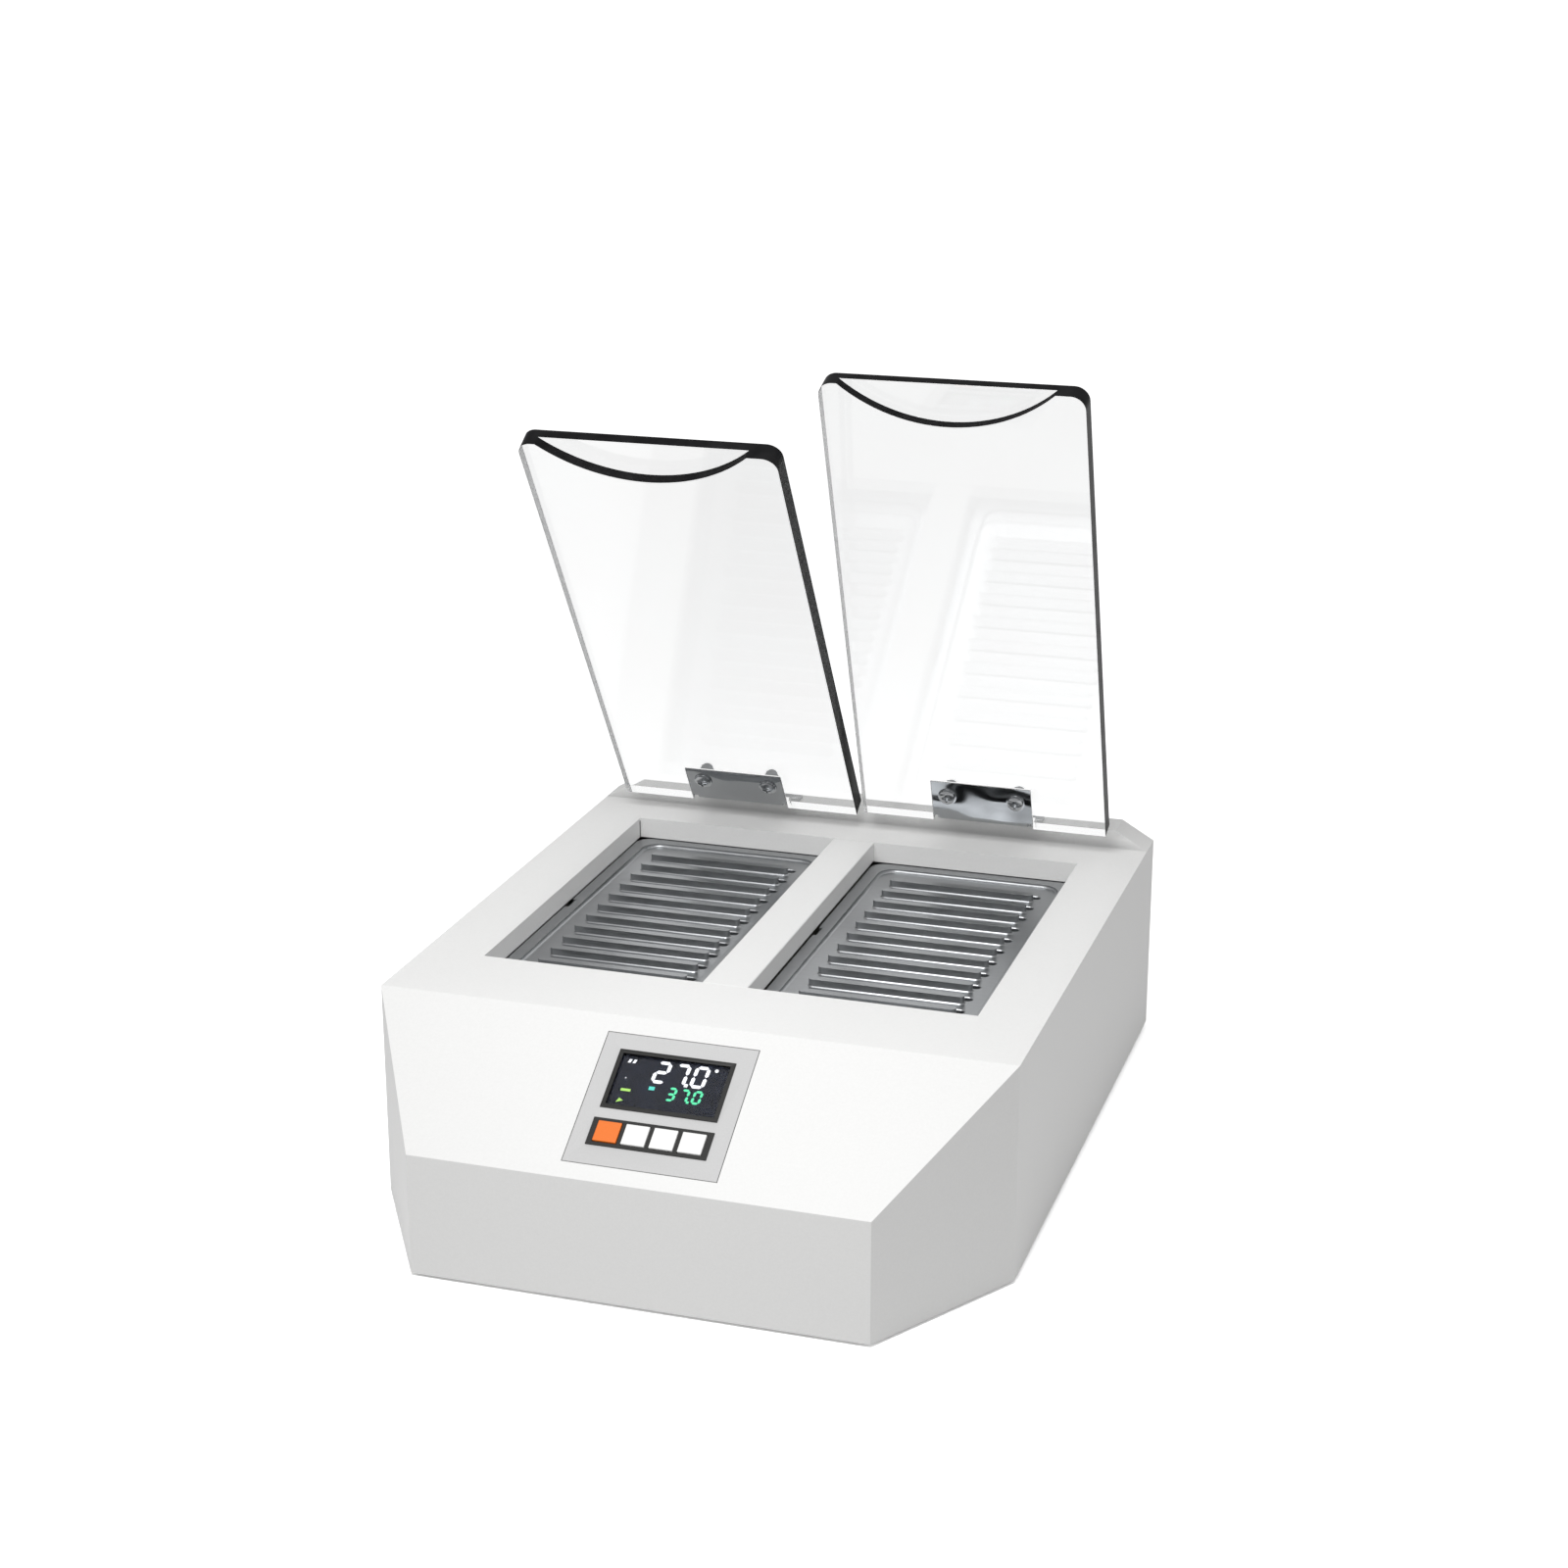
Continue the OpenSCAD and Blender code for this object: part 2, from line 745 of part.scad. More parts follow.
module block(side) {
    color("darkgray")
        in_housing()
            translate([side * well_x, well_mid_y, block_bottom])
                difference() {
                    union() {
                        difference() {
                            linear_extrude(block_h)
                                rounded(block_w, block_d, block_r);
                            translate([0, 0, pocket_z])
                                pocket_cut();
                        }
                        translate([0, rib_front + rib_t / 2, pocket_z])
                            at_rows()
                                rib();
                    }
                    translate([slot_shift - (slot_l - rib_l) / 2, slot_y, pocket_z])
                        at_rows()
                            slot_cut();
                    for (x = [-1, 1])
                        translate([x * (block_w / 2 - notch_w / 2 + 1), 0, block_h - pocket_h / 2])
                            cube([notch_w + 2, notch_l, pocket_h + eps], center = true);
                    for (x = [-1, 1], y = [-1, 1])
                        translate([x * block_screw_x, y * block_screw_y, -1])
                            cylinder(h = block_thread + 3, d = block_screw_d);
                    translate([0, block_d / 2 + 1, probe_z])
                        rotate([90, 0, 0])
                            cylinder(h = probe_l - probe_out - insulation_side + 3,
                                d = probe_d + 2 * probe_play);
                }
}

module left_block() { block(-1); }
module right_block() { block(1); }

module heater(side) {
    edge = 2;
    color("darkorange")
        in_housing()
            translate([side * well_x, well_mid_y, block_bottom - heater_t])
                linear_extrude(heater_t)
                    difference() {
                        rounded(block_w - 2 * edge, block_d - 2 * edge, block_r - edge);
                        for (x = [-1, 1], y = [-1, 1])
                            translate([x * block_screw_x, y * block_screw_y])
                                circle(d = block_screw_d + 2);
                    }
}

module left_heater() { heater(-1); }
module right_heater() { heater(1); }

module insulation(side) {
    inner_w = block_w + 2 * insulation_play;
    inner_d = block_d + 2 * insulation_play;
    color("lightgray")
        in_housing()
            translate([side * well_x, well_mid_y, tray_top])
                difference() {
                    linear_extrude(insulation_t + heater_t + insulation_h)
                        rounded(inner_w + 2 * insulation_side, inner_d + 2 * insulation_side, block_r + 2);
                    translate([0, 0, insulation_t])
                        linear_extrude(insulation_h + heater_t + 1)
                            rounded(inner_w, inner_d, block_r);
                    for (x = [-1, 1], y = [-1, 1])
                        translate([x * block_screw_x, y * block_screw_y, -1])
                            cylinder(h = insulation_t + 2, d = block_screw_d + 0.6);
                    translate([0, inner_d / 2 + insulation_side + 1, insulation_t + heater_t + probe_z])
                        rotate([90, 0, 0])
                            cylinder(h = insulation_side + 2, d = probe_d + 1);
                    translate([0, -inner_d / 2 + 1, insulation_t + heater_t + cutout_z])
                        rotate([90, 0, 0])
                            cylinder(h = insulation_side + 2, d = cutout_d + 0.6);
                }
}

module left_insulation() { insulation(-1); }
module right_insulation() { insulation(1); }

// Sheet that carries both blocks
module block_tray() {
    tray_w = opening_w + 2 * insulation_side + 2 * tray_edge;
    tray_d = well_d + 2 * insulation_side + 2 * tray_edge;
    color("silver")
        in_housing()
            translate([0, well_mid_y, tray_bottom])
                difference() {
                    translate([-tray_w / 2, -tray_d / 2, 0])
                        cube([tray_w, tray_d, sheet_t]);
                    for (side = [-1, 1], x = [-1, 1], y = [-1, 1])
                        translate([side * well_x + x * block_screw_x, y * block_screw_y, -1])
                            cylinder(h = sheet_t + 2, d = block_screw_d);
                    for (p = post_places())
                        translate([p[0], p[1] - well_mid_y, -1])
                            cylinder(h = sheet_t + 2, d = small_screw_d);
                }
}

module tray_posts() {
    color("goldenrod")
        in_housing()
            for (p = post_places())
                translate([p[0], p[1], base_top]) {
                    cylinder(h = tray_bottom - base_top, d = post_d, $fn = 6);
                    translate([0, 0, -sheet_t])
                        cylinder(h = tray_bottom - base_top + 2 * sheet_t, d = small_screw_d - thread_play);
                }
}

module block_screws() {
    color("silver")
        in_housing()
            for (side = [-1, 1], x = [-1, 1], y = [-1, 1])
                translate([side * well_x + x * block_screw_x, well_mid_y + y * block_screw_y, tray_bottom])
                    rotate([180, 0, 0])
                        pan_screw(block_screw_d - thread_play,
                            sheet_t + insulation_t + heater_t + block_thread, block_head_d, 3);
}

module temperature_probes() {
    color("silver")
        in_housing()
            for (side = [-1, 1])
                translate([side * well_x, well_mid_y + block_d / 2 + insulation_side + probe_out,
                        block_bottom + probe_z])
                    rotate([90, 0, 0]) {
                        cylinder(h = probe_l - 2, d = probe_d);
                        cylinder(h = 5, d = probe_d + 2);
                    }
}

module thermal_cutouts() {
    tab_x = 4;
    tab_w = 4;
    tab_t = 1;
    tab_l = 6;
    color("tan")
        in_housing()
            for (side = [-1, 1])
                translate([side * well_x, well_mid_y - block_d / 2, block_bottom + cutout_z])
                    rotate([90, 0, 0]) {
                        cylinder(h = cutout_h, d = cutout_d);
                        for (x = [-tab_x, tab_x])
                            translate([x, 0, cutout_h + tab_l / 2 - eps])
                                cube([tab_w, tab_t, tab_l], center = true);
                    }
}

module control_plate() {
    color("lightgray")
        on_slope()
            difference() {
                union() {
                    translate([-plate_w / 2, plate_s, -plate_t])
                        cube([plate_w, plate_l, plate_t]);
                    translate([-plate_w / 2 - plate_lip, plate_s - plate_lip, -plate_t])
                        cube([plate_w + 2 * plate_lip, plate_l + 2 * plate_lip,
                            plate_t - sheet_t - lip_play]);
                    for (x = [-1, 1], y = [-1, 1])
                        translate([x * board_hole_x, plate_mid_s + y * board_hole_s, board_face])
                            cylinder(h = board_drop + 0.5, d = boss_d);
                }
                translate([-display_w / 2, display_s, -plate_t - 1])
                    cube([display_w, display_l, plate_t + 2]);
                translate([-strip_w / 2, strip_s, -plate_t - 1])
                    cube([strip_w, strip_l, plate_t + 2]);
                for (x = [-1, 1], y = [-1, 1])
                    translate([x * board_hole_x, plate_mid_s + y * board_hole_s, board_face - 1])
                        cylinder(h = board_drop, d = board_screw_d);
            }
}

module display_frame() {
    inner_w = display_w - 2 * display_border;
    inner_l = display_l - 2 * display_border;
    color("dimgray")
        on_slope()
            translate([0, display_mid_s, 0])
                difference() {
                    translate([-display_w / 2, -display_l / 2, -plate_t])
                        cube([display_w, display_l, plate_t + frame_proud]);
                    translate([-inner_w / 2, -inner_l / 2, -plate_t - 1])
                        cube([inner_w, inner_l, plate_t + frame_proud + 2]);
                    translate([-inner_w / 2 - 1, -inner_l / 2 - 1, -plate_t - 1])
                        cube([inner_w + 2, inner_l + 2, plate_t + 1 + frame_proud - window_drop]);
                }
}

module display_window() {
    inner_w = display_w - 2 * display_border + 2;
    inner_l = display_l - 2 * display_border + 2;
    color("midnightblue", 0.6)
        on_slope()
            translate([-inner_w / 2, display_mid_s - inner_l / 2, frame_proud - window_drop - window_t])
                cube([inner_w, inner_l, window_t]);
}

// Display on the control board, stepped up to the window
module display_module() {
    step_t = 2;
    step_side = 0.3;
    glass_w = display_w - 2 * display_border + 2;
    glass_l = display_l - 2 * display_border + 2;
    glass_top = frame_proud - window_drop - window_t - step_side / 2;
    color("navy")
        on_slope()
            translate([0, display_mid_s, 0]) {
                translate([-display_w / 2 - step_t, -display_l / 2 - 1, board_face])
                    cube([display_w + 2 * step_t, display_l + 2, -plate_t - 0.05 - board_face]);
                translate([-glass_w / 2 + step_side, -glass_l / 2 + step_side, -plate_t - 0.05 - eps])
                    cube([glass_w - 2 * step_side, glass_l - 2 * step_side,
                        glass_top + plate_t + 0.05 + eps]);
            }
}

// Centre of a key across the panel
function key_x(i) = (i - 2.5) * key_pitch;

module key_frame() {
    color("dimgray")
        on_slope()
            translate([0, key_mid_s, 0])
                difference() {
                    translate([-strip_w / 2, -strip_l / 2, -plate_t])
                        cube([strip_w, strip_l, plate_t + frame_proud]);
                    for (i = [1:4])
                        translate([key_x(i) - key_w / 2 - key_gap, -key_l / 2 - key_gap, -plate_t - 1])
                            cube([key_w + 2 * key_gap, key_l + 2 * key_gap, plate_t + frame_proud + 2]);
                }
}

module key(i, tint) {
    stem_low = board_face + switch_h + key_travel + stem_play;
    color(tint)
        on_slope()
            translate([key_x(i), key_mid_s, 0]) {
                translate([-key_w / 2, -key_l / 2, key_back - eps])
                    cube([key_w, key_l, -key_back + key_proud + eps]);
                translate([-key_w / 2 - flange_out, -key_l / 2 - flange_out, key_back - key_flange])
                    cube([key_w + 2 * flange_out, key_l + 2 * flange_out, key_flange]);
                translate([0, 0, stem_low])
                    cylinder(h = key_back - stem_low, d = stem_d, $fn = 32);
            }
}

module key_1() { key(1, "orange"); }
module key_2() { key(2, "whitesmoke"); }
module key_3() { key(3, "whitesmoke"); }
module key_4() { key(4, "whitesmoke"); }

module control_board() {
    color("darkgreen")
        on_slope()
            translate([0, plate_mid_s, board_face - board_t])
                difference() {
                    translate([-board_w / 2, -board_l / 2, 0])
                        cube([board_w, board_l, board_t]);
                    for (x = [-1, 1], y = [-1, 1])
                        translate([x * board_hole_x, y * board_hole_s, -1])
                            cylinder(h = board_t + 2, d = board_screw_d + 0.3);
                }
}

module push_switches() {
    color("black")
        on_slope()
            for (i = [1:4])
                translate([key_x(i), key_mid_s, board_face]) {
                    translate([-3, -3, 0])
                        cube([6, 6, switch_h - 0.6]);
                    cylinder(h = switch_h, d = 3.2, $fn = 32);
                }
}

module control_board_screws() {
    color("silver")
        on_slope()
            for (x = [-1, 1], y = [-1, 1])
                translate([x * board_hole_x, plate_mid_s + y * board_hole_s, board_face - board_t])
                    rotate([180, 0, 0])
                        pan_screw(board_screw_d - thread_play, board_t + 5, 5, 1.8);
}

module power_board() {
    color("darkgreen")
        in_housing()
            difference() {
                translate([power_x - power_w / 2, power_y - power_d / 2, base_top + power_up])
                    cube([power_w, power_d, board_t]);
                for (p = power_post_places())
                    translate([p[0], p[1], base_top])
                        cylinder(h = power_up + 2 * board_t, d = small_screw_d + 0.2);
            }
}

module power_board_posts() {
    color("goldenrod")
        in_housing()
            for (p = power_post_places())
                translate([p[0], p[1], base_top]) {
                    cylinder(h = power_up, d = boss_d, $fn = 6);
                    translate([0, 0, -sheet_t])
                        cylinder(h = power_up + sheet_t + board_t, d = small_screw_d - thread_play);
                    translate([0, 0, power_up + board_t])
                        cylinder(h = power_nut_h, d = power_nut_d, $fn = 6);
                }
}

module transformer() {
    core_z = coil_foot + (coil_h - core_h) / 2;
    window = coil_w + 0.4;
    color("saddlebrown")
        in_housing()
            translate([power_x + coil_x, power_y, power_z]) {
                translate([-coil_w / 2 - coil_foot, -coil_d / 2 - coil_foot / 2, 0])
                    cube([coil_w + 2 * coil_foot, coil_d + coil_foot, coil_foot]);
                translate([-coil_w / 2, -coil_d / 2, coil_foot - eps])
                    cube([coil_w, coil_d, coil_h]);
                difference() {
                    translate([-core_w / 2, -core_d / 2, core_z])
                        cube([core_w, core_d, core_h]);
                    translate([-window / 2, -core_d, core_z + core_leg / 3])
                        cube([window, 2 * core_d, core_h - 2 * core_leg / 3]);
                }
            }
}

module capacitors() {
    color("darkslategray")
        in_housing()
            for (y = [-1, 1])
                translate([power_x + capacitor_x, power_y + y * capacitor_space / 2, power_z])
                    cylinder(h = capacitor_h, d = capacitor_d);
}

module heat_sink() {
    fin_pitch = (sink_l - sink_t) / (fin_n - 1);
    color("silver")
        in_housing()
            translate([power_x + sink_x, power_y - sink_l / 2, power_z]) {
                cube([sink_t, sink_l, sink_h]);
                for (i = [0:fin_n - 1])
                    translate([sink_t - eps, i * fin_pitch, 0])
                        cube([fin_l, sink_t, sink_h]);
            }
}

// Height of an inlet pin from the inlet's middle, x across
function prong_z(x) = (x == 0 ? 3 : -1) * prong_h / 4;

module mains_inlet() {
    corner = socket_h / 4;
    color("black")
        in_housing()
            translate([inlet_x, panel_y, inlet_z])
                difference() {
                    union() {
                        translate([-inlet_face_w / 2, sheet_t, -inlet_face_h / 2])
                            cube([inlet_face_w, flange_t, inlet_face_h]);
                        translate([-inlet_w / 2 + fit_gap, -inlet_deep, -inlet_h / 2 + fit_gap])
                            cube([inlet_w - 2 * fit_gap, inlet_deep + sheet_t + eps,
                                inlet_h - 2 * fit_gap]);
                    }
                    translate([0, sheet_t + flange_t + 1, 0])
                        rotate([90, 0, 0])
                            linear_extrude(inlet_deep - flange_t)
                                polygon([[-socket_w / 2, -socket_h / 2], [socket_w / 2, -socket_h / 2],
                                    [socket_w / 2, socket_h / 2 - corner],
                                    [socket_w / 2 - corner, socket_h / 2],
                                    [corner - socket_w / 2, socket_h / 2],
                                    [-socket_w / 2, socket_h / 2 - corner]]);
                    for (x = [-prong_pitch, 0, prong_pitch])
                        translate([x, -inlet_deep, prong_z(x)])
                            cube([prong_w, inlet_deep, prong_h], center = true);
                }
}

module inlet_pins() {
    color("silver")
        in_housing()
            translate([inlet_x, panel_y, inlet_z])
                for (x = [-prong_pitch, 0, prong_pitch])
                    translate([x, -inlet_deep / 2 - prong_h, prong_z(x)])
                        cube([prong_w, prong_l, prong_h], center = true);
}

module switch_body() {
    color("black")
        in_housing()
            translate([switch_x, panel_y, inlet_z])
                difference() {
                    union() {
                        translate([-switch_w / 2 - 1, sheet_t, -switch_l / 2 - 1])
                            cube([switch_w + 2, switch_flange, switch_l + 2]);
                        translate([-switch_w / 2 + fit_gap, -switch_deep, -switch_l / 2 + fit_gap])
                            cube([switch_w - 2 * fit_gap, switch_deep + sheet_t + eps,
                                switch_l - 2 * fit_gap]);
                    }
                    translate([0, sheet_t, 0])
                        cube([switch_w - 2 * switch_edge, switch_deep, switch_l - 2 * switch_edge],
                            center = true);
                    translate([0, sheet_t - rocker_drop, -switch_l])
                        cylinder(h = 2 * switch_l, d = trunnion_d + 2 * pin_play);
                }
}

// Rocker with two sloping halves, turning about a pin across the switch
module switch_rocker() {
    half = switch_w / 2 - switch_edge - 0.9;
    side_gap = switch_edge + 0.4;
    color("black")
        in_housing()
            translate([switch_x, rocker_y, inlet_z])
                rotate([0, 0, rocker_tilt]) {
                    translate([0, 0, -switch_l / 2 + side_gap])
                        linear_extrude(switch_l - 2 * side_gap)
                            polygon([[-half, 0.1], [-half, 3.4], [0, 2.4], [half, 3.4], [half, 0.1],
                                [2, -2.5], [-2, -2.5]]);
                    translate([0, 0, -switch_l / 2 + 0.4])
                        cylinder(h = switch_l - 0.8, d = trunnion_d);
                }
}

// A lid's outline seen from above when closed, its hinge edge on the x axis
module lid_plan() {
    difference() {
        union() {
            translate([-lid_w / 2, -lid_l + lid_r])
                square([lid_w, lid_l - lid_r]);
            translate([-lid_w / 2 + lid_r, -lid_l])
                square([lid_w - 2 * lid_r, lid_r + eps]);
            for (x = [-1, 1])
                translate([x * (lid_w / 2 - lid_r), -lid_l + lid_r])
                    circle(lid_r);
        }
        translate([-hinge_w / 2 - leaf_slack, -lid_notch])
            square([hinge_w + 2 * leaf_slack, lid_notch + 1]);
    }
}

// Lid closed, with the hinge axis at the origin
module lid(side, angle) {
    color("white", 0.4)
        opened(angle)
            translate([side * lid_x, -axis_back, -axis_in])
                difference() {
                    linear_extrude(lid_t)
                        lid_plan();
                    translate([-thumb_shift, -lid_l + thumb_l - thumb_r, -1])
                        cylinder(h = thumb_h + 1, r = thumb_r, $fn = 180);
                    translate([-hinge_w / 2 - leaf_slack, -leaf_l - leaf_slack, -1])
                        cube([hinge_w + 2 * leaf_slack, leaf_l + leaf_slack + 1, leaf_t + 1]);
                    for (x = [-1, 1])
                        translate([x * leaf_screw_pitch / 2, -leaf_screw_s, -1])
                            cylinder(h = lid_t + 2, d = leaf_screw_d);
                }
}

module left_lid() { lid(-1, left_lid_angle); }
module right_lid() { lid(1, right_lid_angle); }

// Leaf: a plate under the lid, a bend round the lid's edge and a barrel about the pin
module leaf(side, angle) {
    web_y = bend_r - leaf_t - lid_notch;
    color("silver")
        opened(angle)
            translate([side * lid_x, 0, 0])
                difference() {
                    union() {
                        translate([-hinge_w / 2, -axis_back - leaf_l, -axis_in])
                            cube([hinge_w, leaf_l - lid_notch, leaf_t]);
                        translate([-barrel_l / 2, 0, 0])
                            rotate([90, 0, 90])
                                linear_extrude(barrel_l) {
                                    intersection() {
                                        difference() {
                                            translate([-axis_back - lid_notch, -axis_in + bend_r])
                                                circle(bend_r);
                                            translate([-axis_back - lid_notch, -axis_in + bend_r])
                                                circle(bend_r - leaf_t);
                                        }
                                        translate([-axis_back - lid_notch - eps, -axis_in])
                                            square([bend_r + eps, bend_r]);
                                    }
                                    translate([-axis_back - lid_notch + bend_r - leaf_t,
                                            -axis_in + bend_r - eps])
                                        square([leaf_t, axis_in - bend_r + eps]);
                                    circle(d = barrel_d);
                                }
                    }
                    translate([-barrel_l, 0, 0])
                        rotate([0, 90, 0])
                            cylinder(h = 2 * barrel_l, d = pin_d + 2 * pin_play);
                    for (x = [-1, 1])
                        translate([x * leaf_screw_pitch / 2, -axis_back - leaf_screw_s, -axis_in - 1])
                            cylinder(h = leaf_t + 2, d = leaf_screw_d);
                }
}

module left_leaf() { leaf(-1, left_lid_angle); }
module right_leaf() { leaf(1, right_lid_angle); }

// Puts children at both leaf screws, z pointing out of the lid's lower face
module at_leaf_screws(side, angle) {
    opened(angle)
        for (x = [-1, 1])
            translate([side * lid_x + x * leaf_screw_pitch / 2, -axis_back - leaf_screw_s, -axis_in])
                rotate([180, 0, 0])
                    children();
}

module leaf_screws(side, angle) {
    color("silver")
        at_leaf_screws(side, angle)
            translate([0, 0, washer_t])
                pan_screw(leaf_screw_d - 2 * thread_play, washer_t + lid_t + nut_h,
                    leaf_head_d, leaf_head_h);
}

module left_leaf_screws() { leaf_screws(-1, left_lid_angle); }
module right_leaf_screws() { leaf_screws(1, right_lid_angle); }

module washers(side, angle) {
    color("silver")
        at_leaf_screws(side, angle)
            difference() {
                cylinder(h = washer_t, d = washer_d);
                translate([0, 0, -1])
                    cylinder(h = washer_t + 2, d = leaf_screw_d);
            }
}

module left_washers() { washers(-1, left_lid_angle); }
module right_washers() { washers(1, right_lid_angle); }

// Hexagon nut with a domed cap on the lid's upper face
module cap_nuts(side, angle) {
    color("silver")
        at_leaf_screws(side, angle)
            translate([0, 0, -lid_t])
                rotate([180, 0, 0])
                    difference() {
                        union() {
                            cylinder(h = nut_h, d = nut_d / cos(30), $fn = 6);
                            translate([0, 0, nut_h])
                                intersection() {
                                    sphere(d = nut_d - 0.6);
                                    translate([0, 0, nut_d / 2 - eps])
                                        cube([nut_d, nut_d, nut_d], center = true);
                                }
                        }
                        translate([0, 0, -1])
                            cylinder(h = 1 + nut_h, d = leaf_screw_d);
                    }
}

module left_cap_nuts() { cap_nuts(-1, left_lid_angle); }
module right_cap_nuts() { cap_nuts(1, right_lid_angle); }

// Base: a plate on the ledge with two ears that reach forward to the pin
module hinge_base(side) {
    ledge_y = body_d - ledge_d;
    plate_back = body_d - rear_recess;
    color("silver")
        in_housing()
            translate([side * lid_x, 0, 0])
                difference() {
                    union() {
                        translate([-hinge_w / 2, ledge_y, ledge_top])
                            cube([hinge_w, plate_back - ledge_y, leaf_t]);
                        for (x = [-hinge_w / 2, hinge_w / 2 - ear_t])
                            translate([x, axis_y, axis_z])
                                rotate([90, 0, 90])
                                    linear_extrude(ear_t) {
                                        circle(axis_up);
                                        polygon([[0, -axis_up], [axis_out + ledge_d / 2, -axis_up],
                                            [axis_out + ledge_d / 2, leaf_t - axis_up], [1, axis_up - 0.2],
                                            [0, axis_up - 0.2]]);
                                    }
                    }
                    translate([-hinge_w, axis_y, axis_z])
                        rotate([0, 90, 0])
                            cylinder(h = 2 * hinge_w, d = pin_d);
                    for (p = hinge_screw_places())
                        translate([p[0], p[1], ledge_top - 1])
                            cylinder(h = leaf_t + 2, d = small_screw_d);
                }
}

module left_hinge_base() { hinge_base(-1); }
module right_hinge_base() { hinge_base(1); }

module hinge_pin(side) {
    color("silver")
        in_housing()
            translate([side * lid_x - hinge_w / 2, axis_y, axis_z])
                rotate([0, 90, 0])
                    cylinder(h = hinge_w, d = pin_d);
}

module left_hinge_pin() { hinge_pin(-1); }
module right_hinge_pin() { hinge_pin(1); }

module hinge_base_screws() {
    color("silver")
        in_housing()
            for (side = [-1, 1], p = hinge_screw_places())
                translate([side * lid_x + p[0], p[1], ledge_top + leaf_t])
                    pan_screw(small_screw_d - thread_play, leaf_t + small_screw_l,
                        small_head_d, small_head_h);
}

housing();
well_divider();
base_plate();
base_screws();
feet();
foot_screws();
rear_panel();
rear_panel_screws();
left_block();
right_block();
left_heater();
right_heater();
left_insulation();
right_insulation();
block_tray();
tray_posts();
block_screws();
temperature_probes();
thermal_cutouts();
control_plate();
display_frame();
display_window();
display_module();
key_frame();
key_1();
key_2();
key_3();
key_4();
control_board();
push_switches();
control_board_screws();
power_board();
power_board_posts();
transformer();
capacitors();
heat_sink();
mains_inlet();
inlet_pins();
switch_body();
switch_rocker();
left_lid();
right_lid();
left_leaf();
right_leaf();
left_leaf_screws();
right_leaf_screws();
left_washers();
right_washers();
left_cap_nuts();
right_cap_nuts();
left_hinge_base();
right_hinge_base();
left_hinge_pin();
right_hinge_pin();
hinge_base_screws();
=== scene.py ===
import json
import math

import bmesh
import bpy
from mathutils import Matrix, Vector


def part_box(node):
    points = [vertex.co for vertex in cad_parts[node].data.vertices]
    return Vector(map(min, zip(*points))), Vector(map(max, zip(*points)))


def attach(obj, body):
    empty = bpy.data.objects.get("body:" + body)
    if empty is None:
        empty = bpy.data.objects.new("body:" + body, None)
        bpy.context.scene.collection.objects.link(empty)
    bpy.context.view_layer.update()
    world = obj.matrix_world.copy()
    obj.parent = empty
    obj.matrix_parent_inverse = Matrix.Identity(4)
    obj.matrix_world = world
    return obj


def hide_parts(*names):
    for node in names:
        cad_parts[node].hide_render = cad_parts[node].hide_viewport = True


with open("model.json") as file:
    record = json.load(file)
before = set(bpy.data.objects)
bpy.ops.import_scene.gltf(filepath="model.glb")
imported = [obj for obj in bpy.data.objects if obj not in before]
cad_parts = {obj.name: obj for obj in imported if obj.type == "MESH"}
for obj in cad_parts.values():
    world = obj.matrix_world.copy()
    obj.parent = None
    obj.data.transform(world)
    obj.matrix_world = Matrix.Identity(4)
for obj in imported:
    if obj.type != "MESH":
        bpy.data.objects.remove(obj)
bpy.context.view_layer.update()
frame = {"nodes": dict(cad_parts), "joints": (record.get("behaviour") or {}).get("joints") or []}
print("frame loaded")

mm = 0.001
nodes = frame["nodes"]
joints = {joint["name"]: joint for joint in frame["joints"]}


# Camera

cameraSettings = {
    "place": (0.381485, -1.174145, 0.579816),    # m
    "yaw": 17.706,       # degrees, turned to the left
    "pitch": 18.203,     # degrees, downward
    "lens": 65.44,       # mm
    "sensor": 36.0,      # mm
}


def makeCamera():
    s = cameraSettings
    lens = bpy.data.cameras.new("camera")
    lens.lens = s["lens"]
    lens.sensor_width = s["sensor"]
    camera = bpy.data.objects.new("camera", lens)
    camera.location = s["place"]
    camera.rotation_euler = (math.radians(90 - s["pitch"]), 0, math.radians(s["yaw"]))
    bpy.context.scene.collection.objects.link(camera)
    bpy.context.scene.camera = camera


makeCamera()
bpy.context.scene.view_settings.view_transform = "Standard"
print("camera placed")


# Materials

def addNode(tree, kind, settings=None, inputs=None):
    made = tree.nodes.new(kind)
    for name, value in (settings or {}).items():
        setattr(made, name, value)
    for name, value in (inputs or {}).items():
        socket = made.inputs[name]
        if isinstance(value, bpy.types.NodeSocket):
            tree.links.new(value, socket)
        else:
            socket.default_value = value
    return made


# An sRGB hex value as the linear light that shaders take
def linearColor(text):
    parts = [int(text[i:i + 2], 16) / 255 for i in (1, 3, 5)]
    return tuple(c / 12.92 if c <= 0.04045 else ((c + 0.055) / 1.055) ** 2.4 for c in parts) + (1.0,)


def startMaterial(name, color, roughness, sockets=None):
    material = bpy.data.materials.new(name)
    material.use_nodes = True
    shader = material.node_tree.nodes["Principled BSDF"]
    shader.inputs["Base Color"].default_value = linearColor(color)
    shader.inputs["Roughness"].default_value = roughness
    for socket, value in (sockets or {}).items():
        shader.inputs[socket].default_value = value
    return material, material.node_tree, shader


noiseRange = (0.3, 0.7)    # where most values of a noise lie


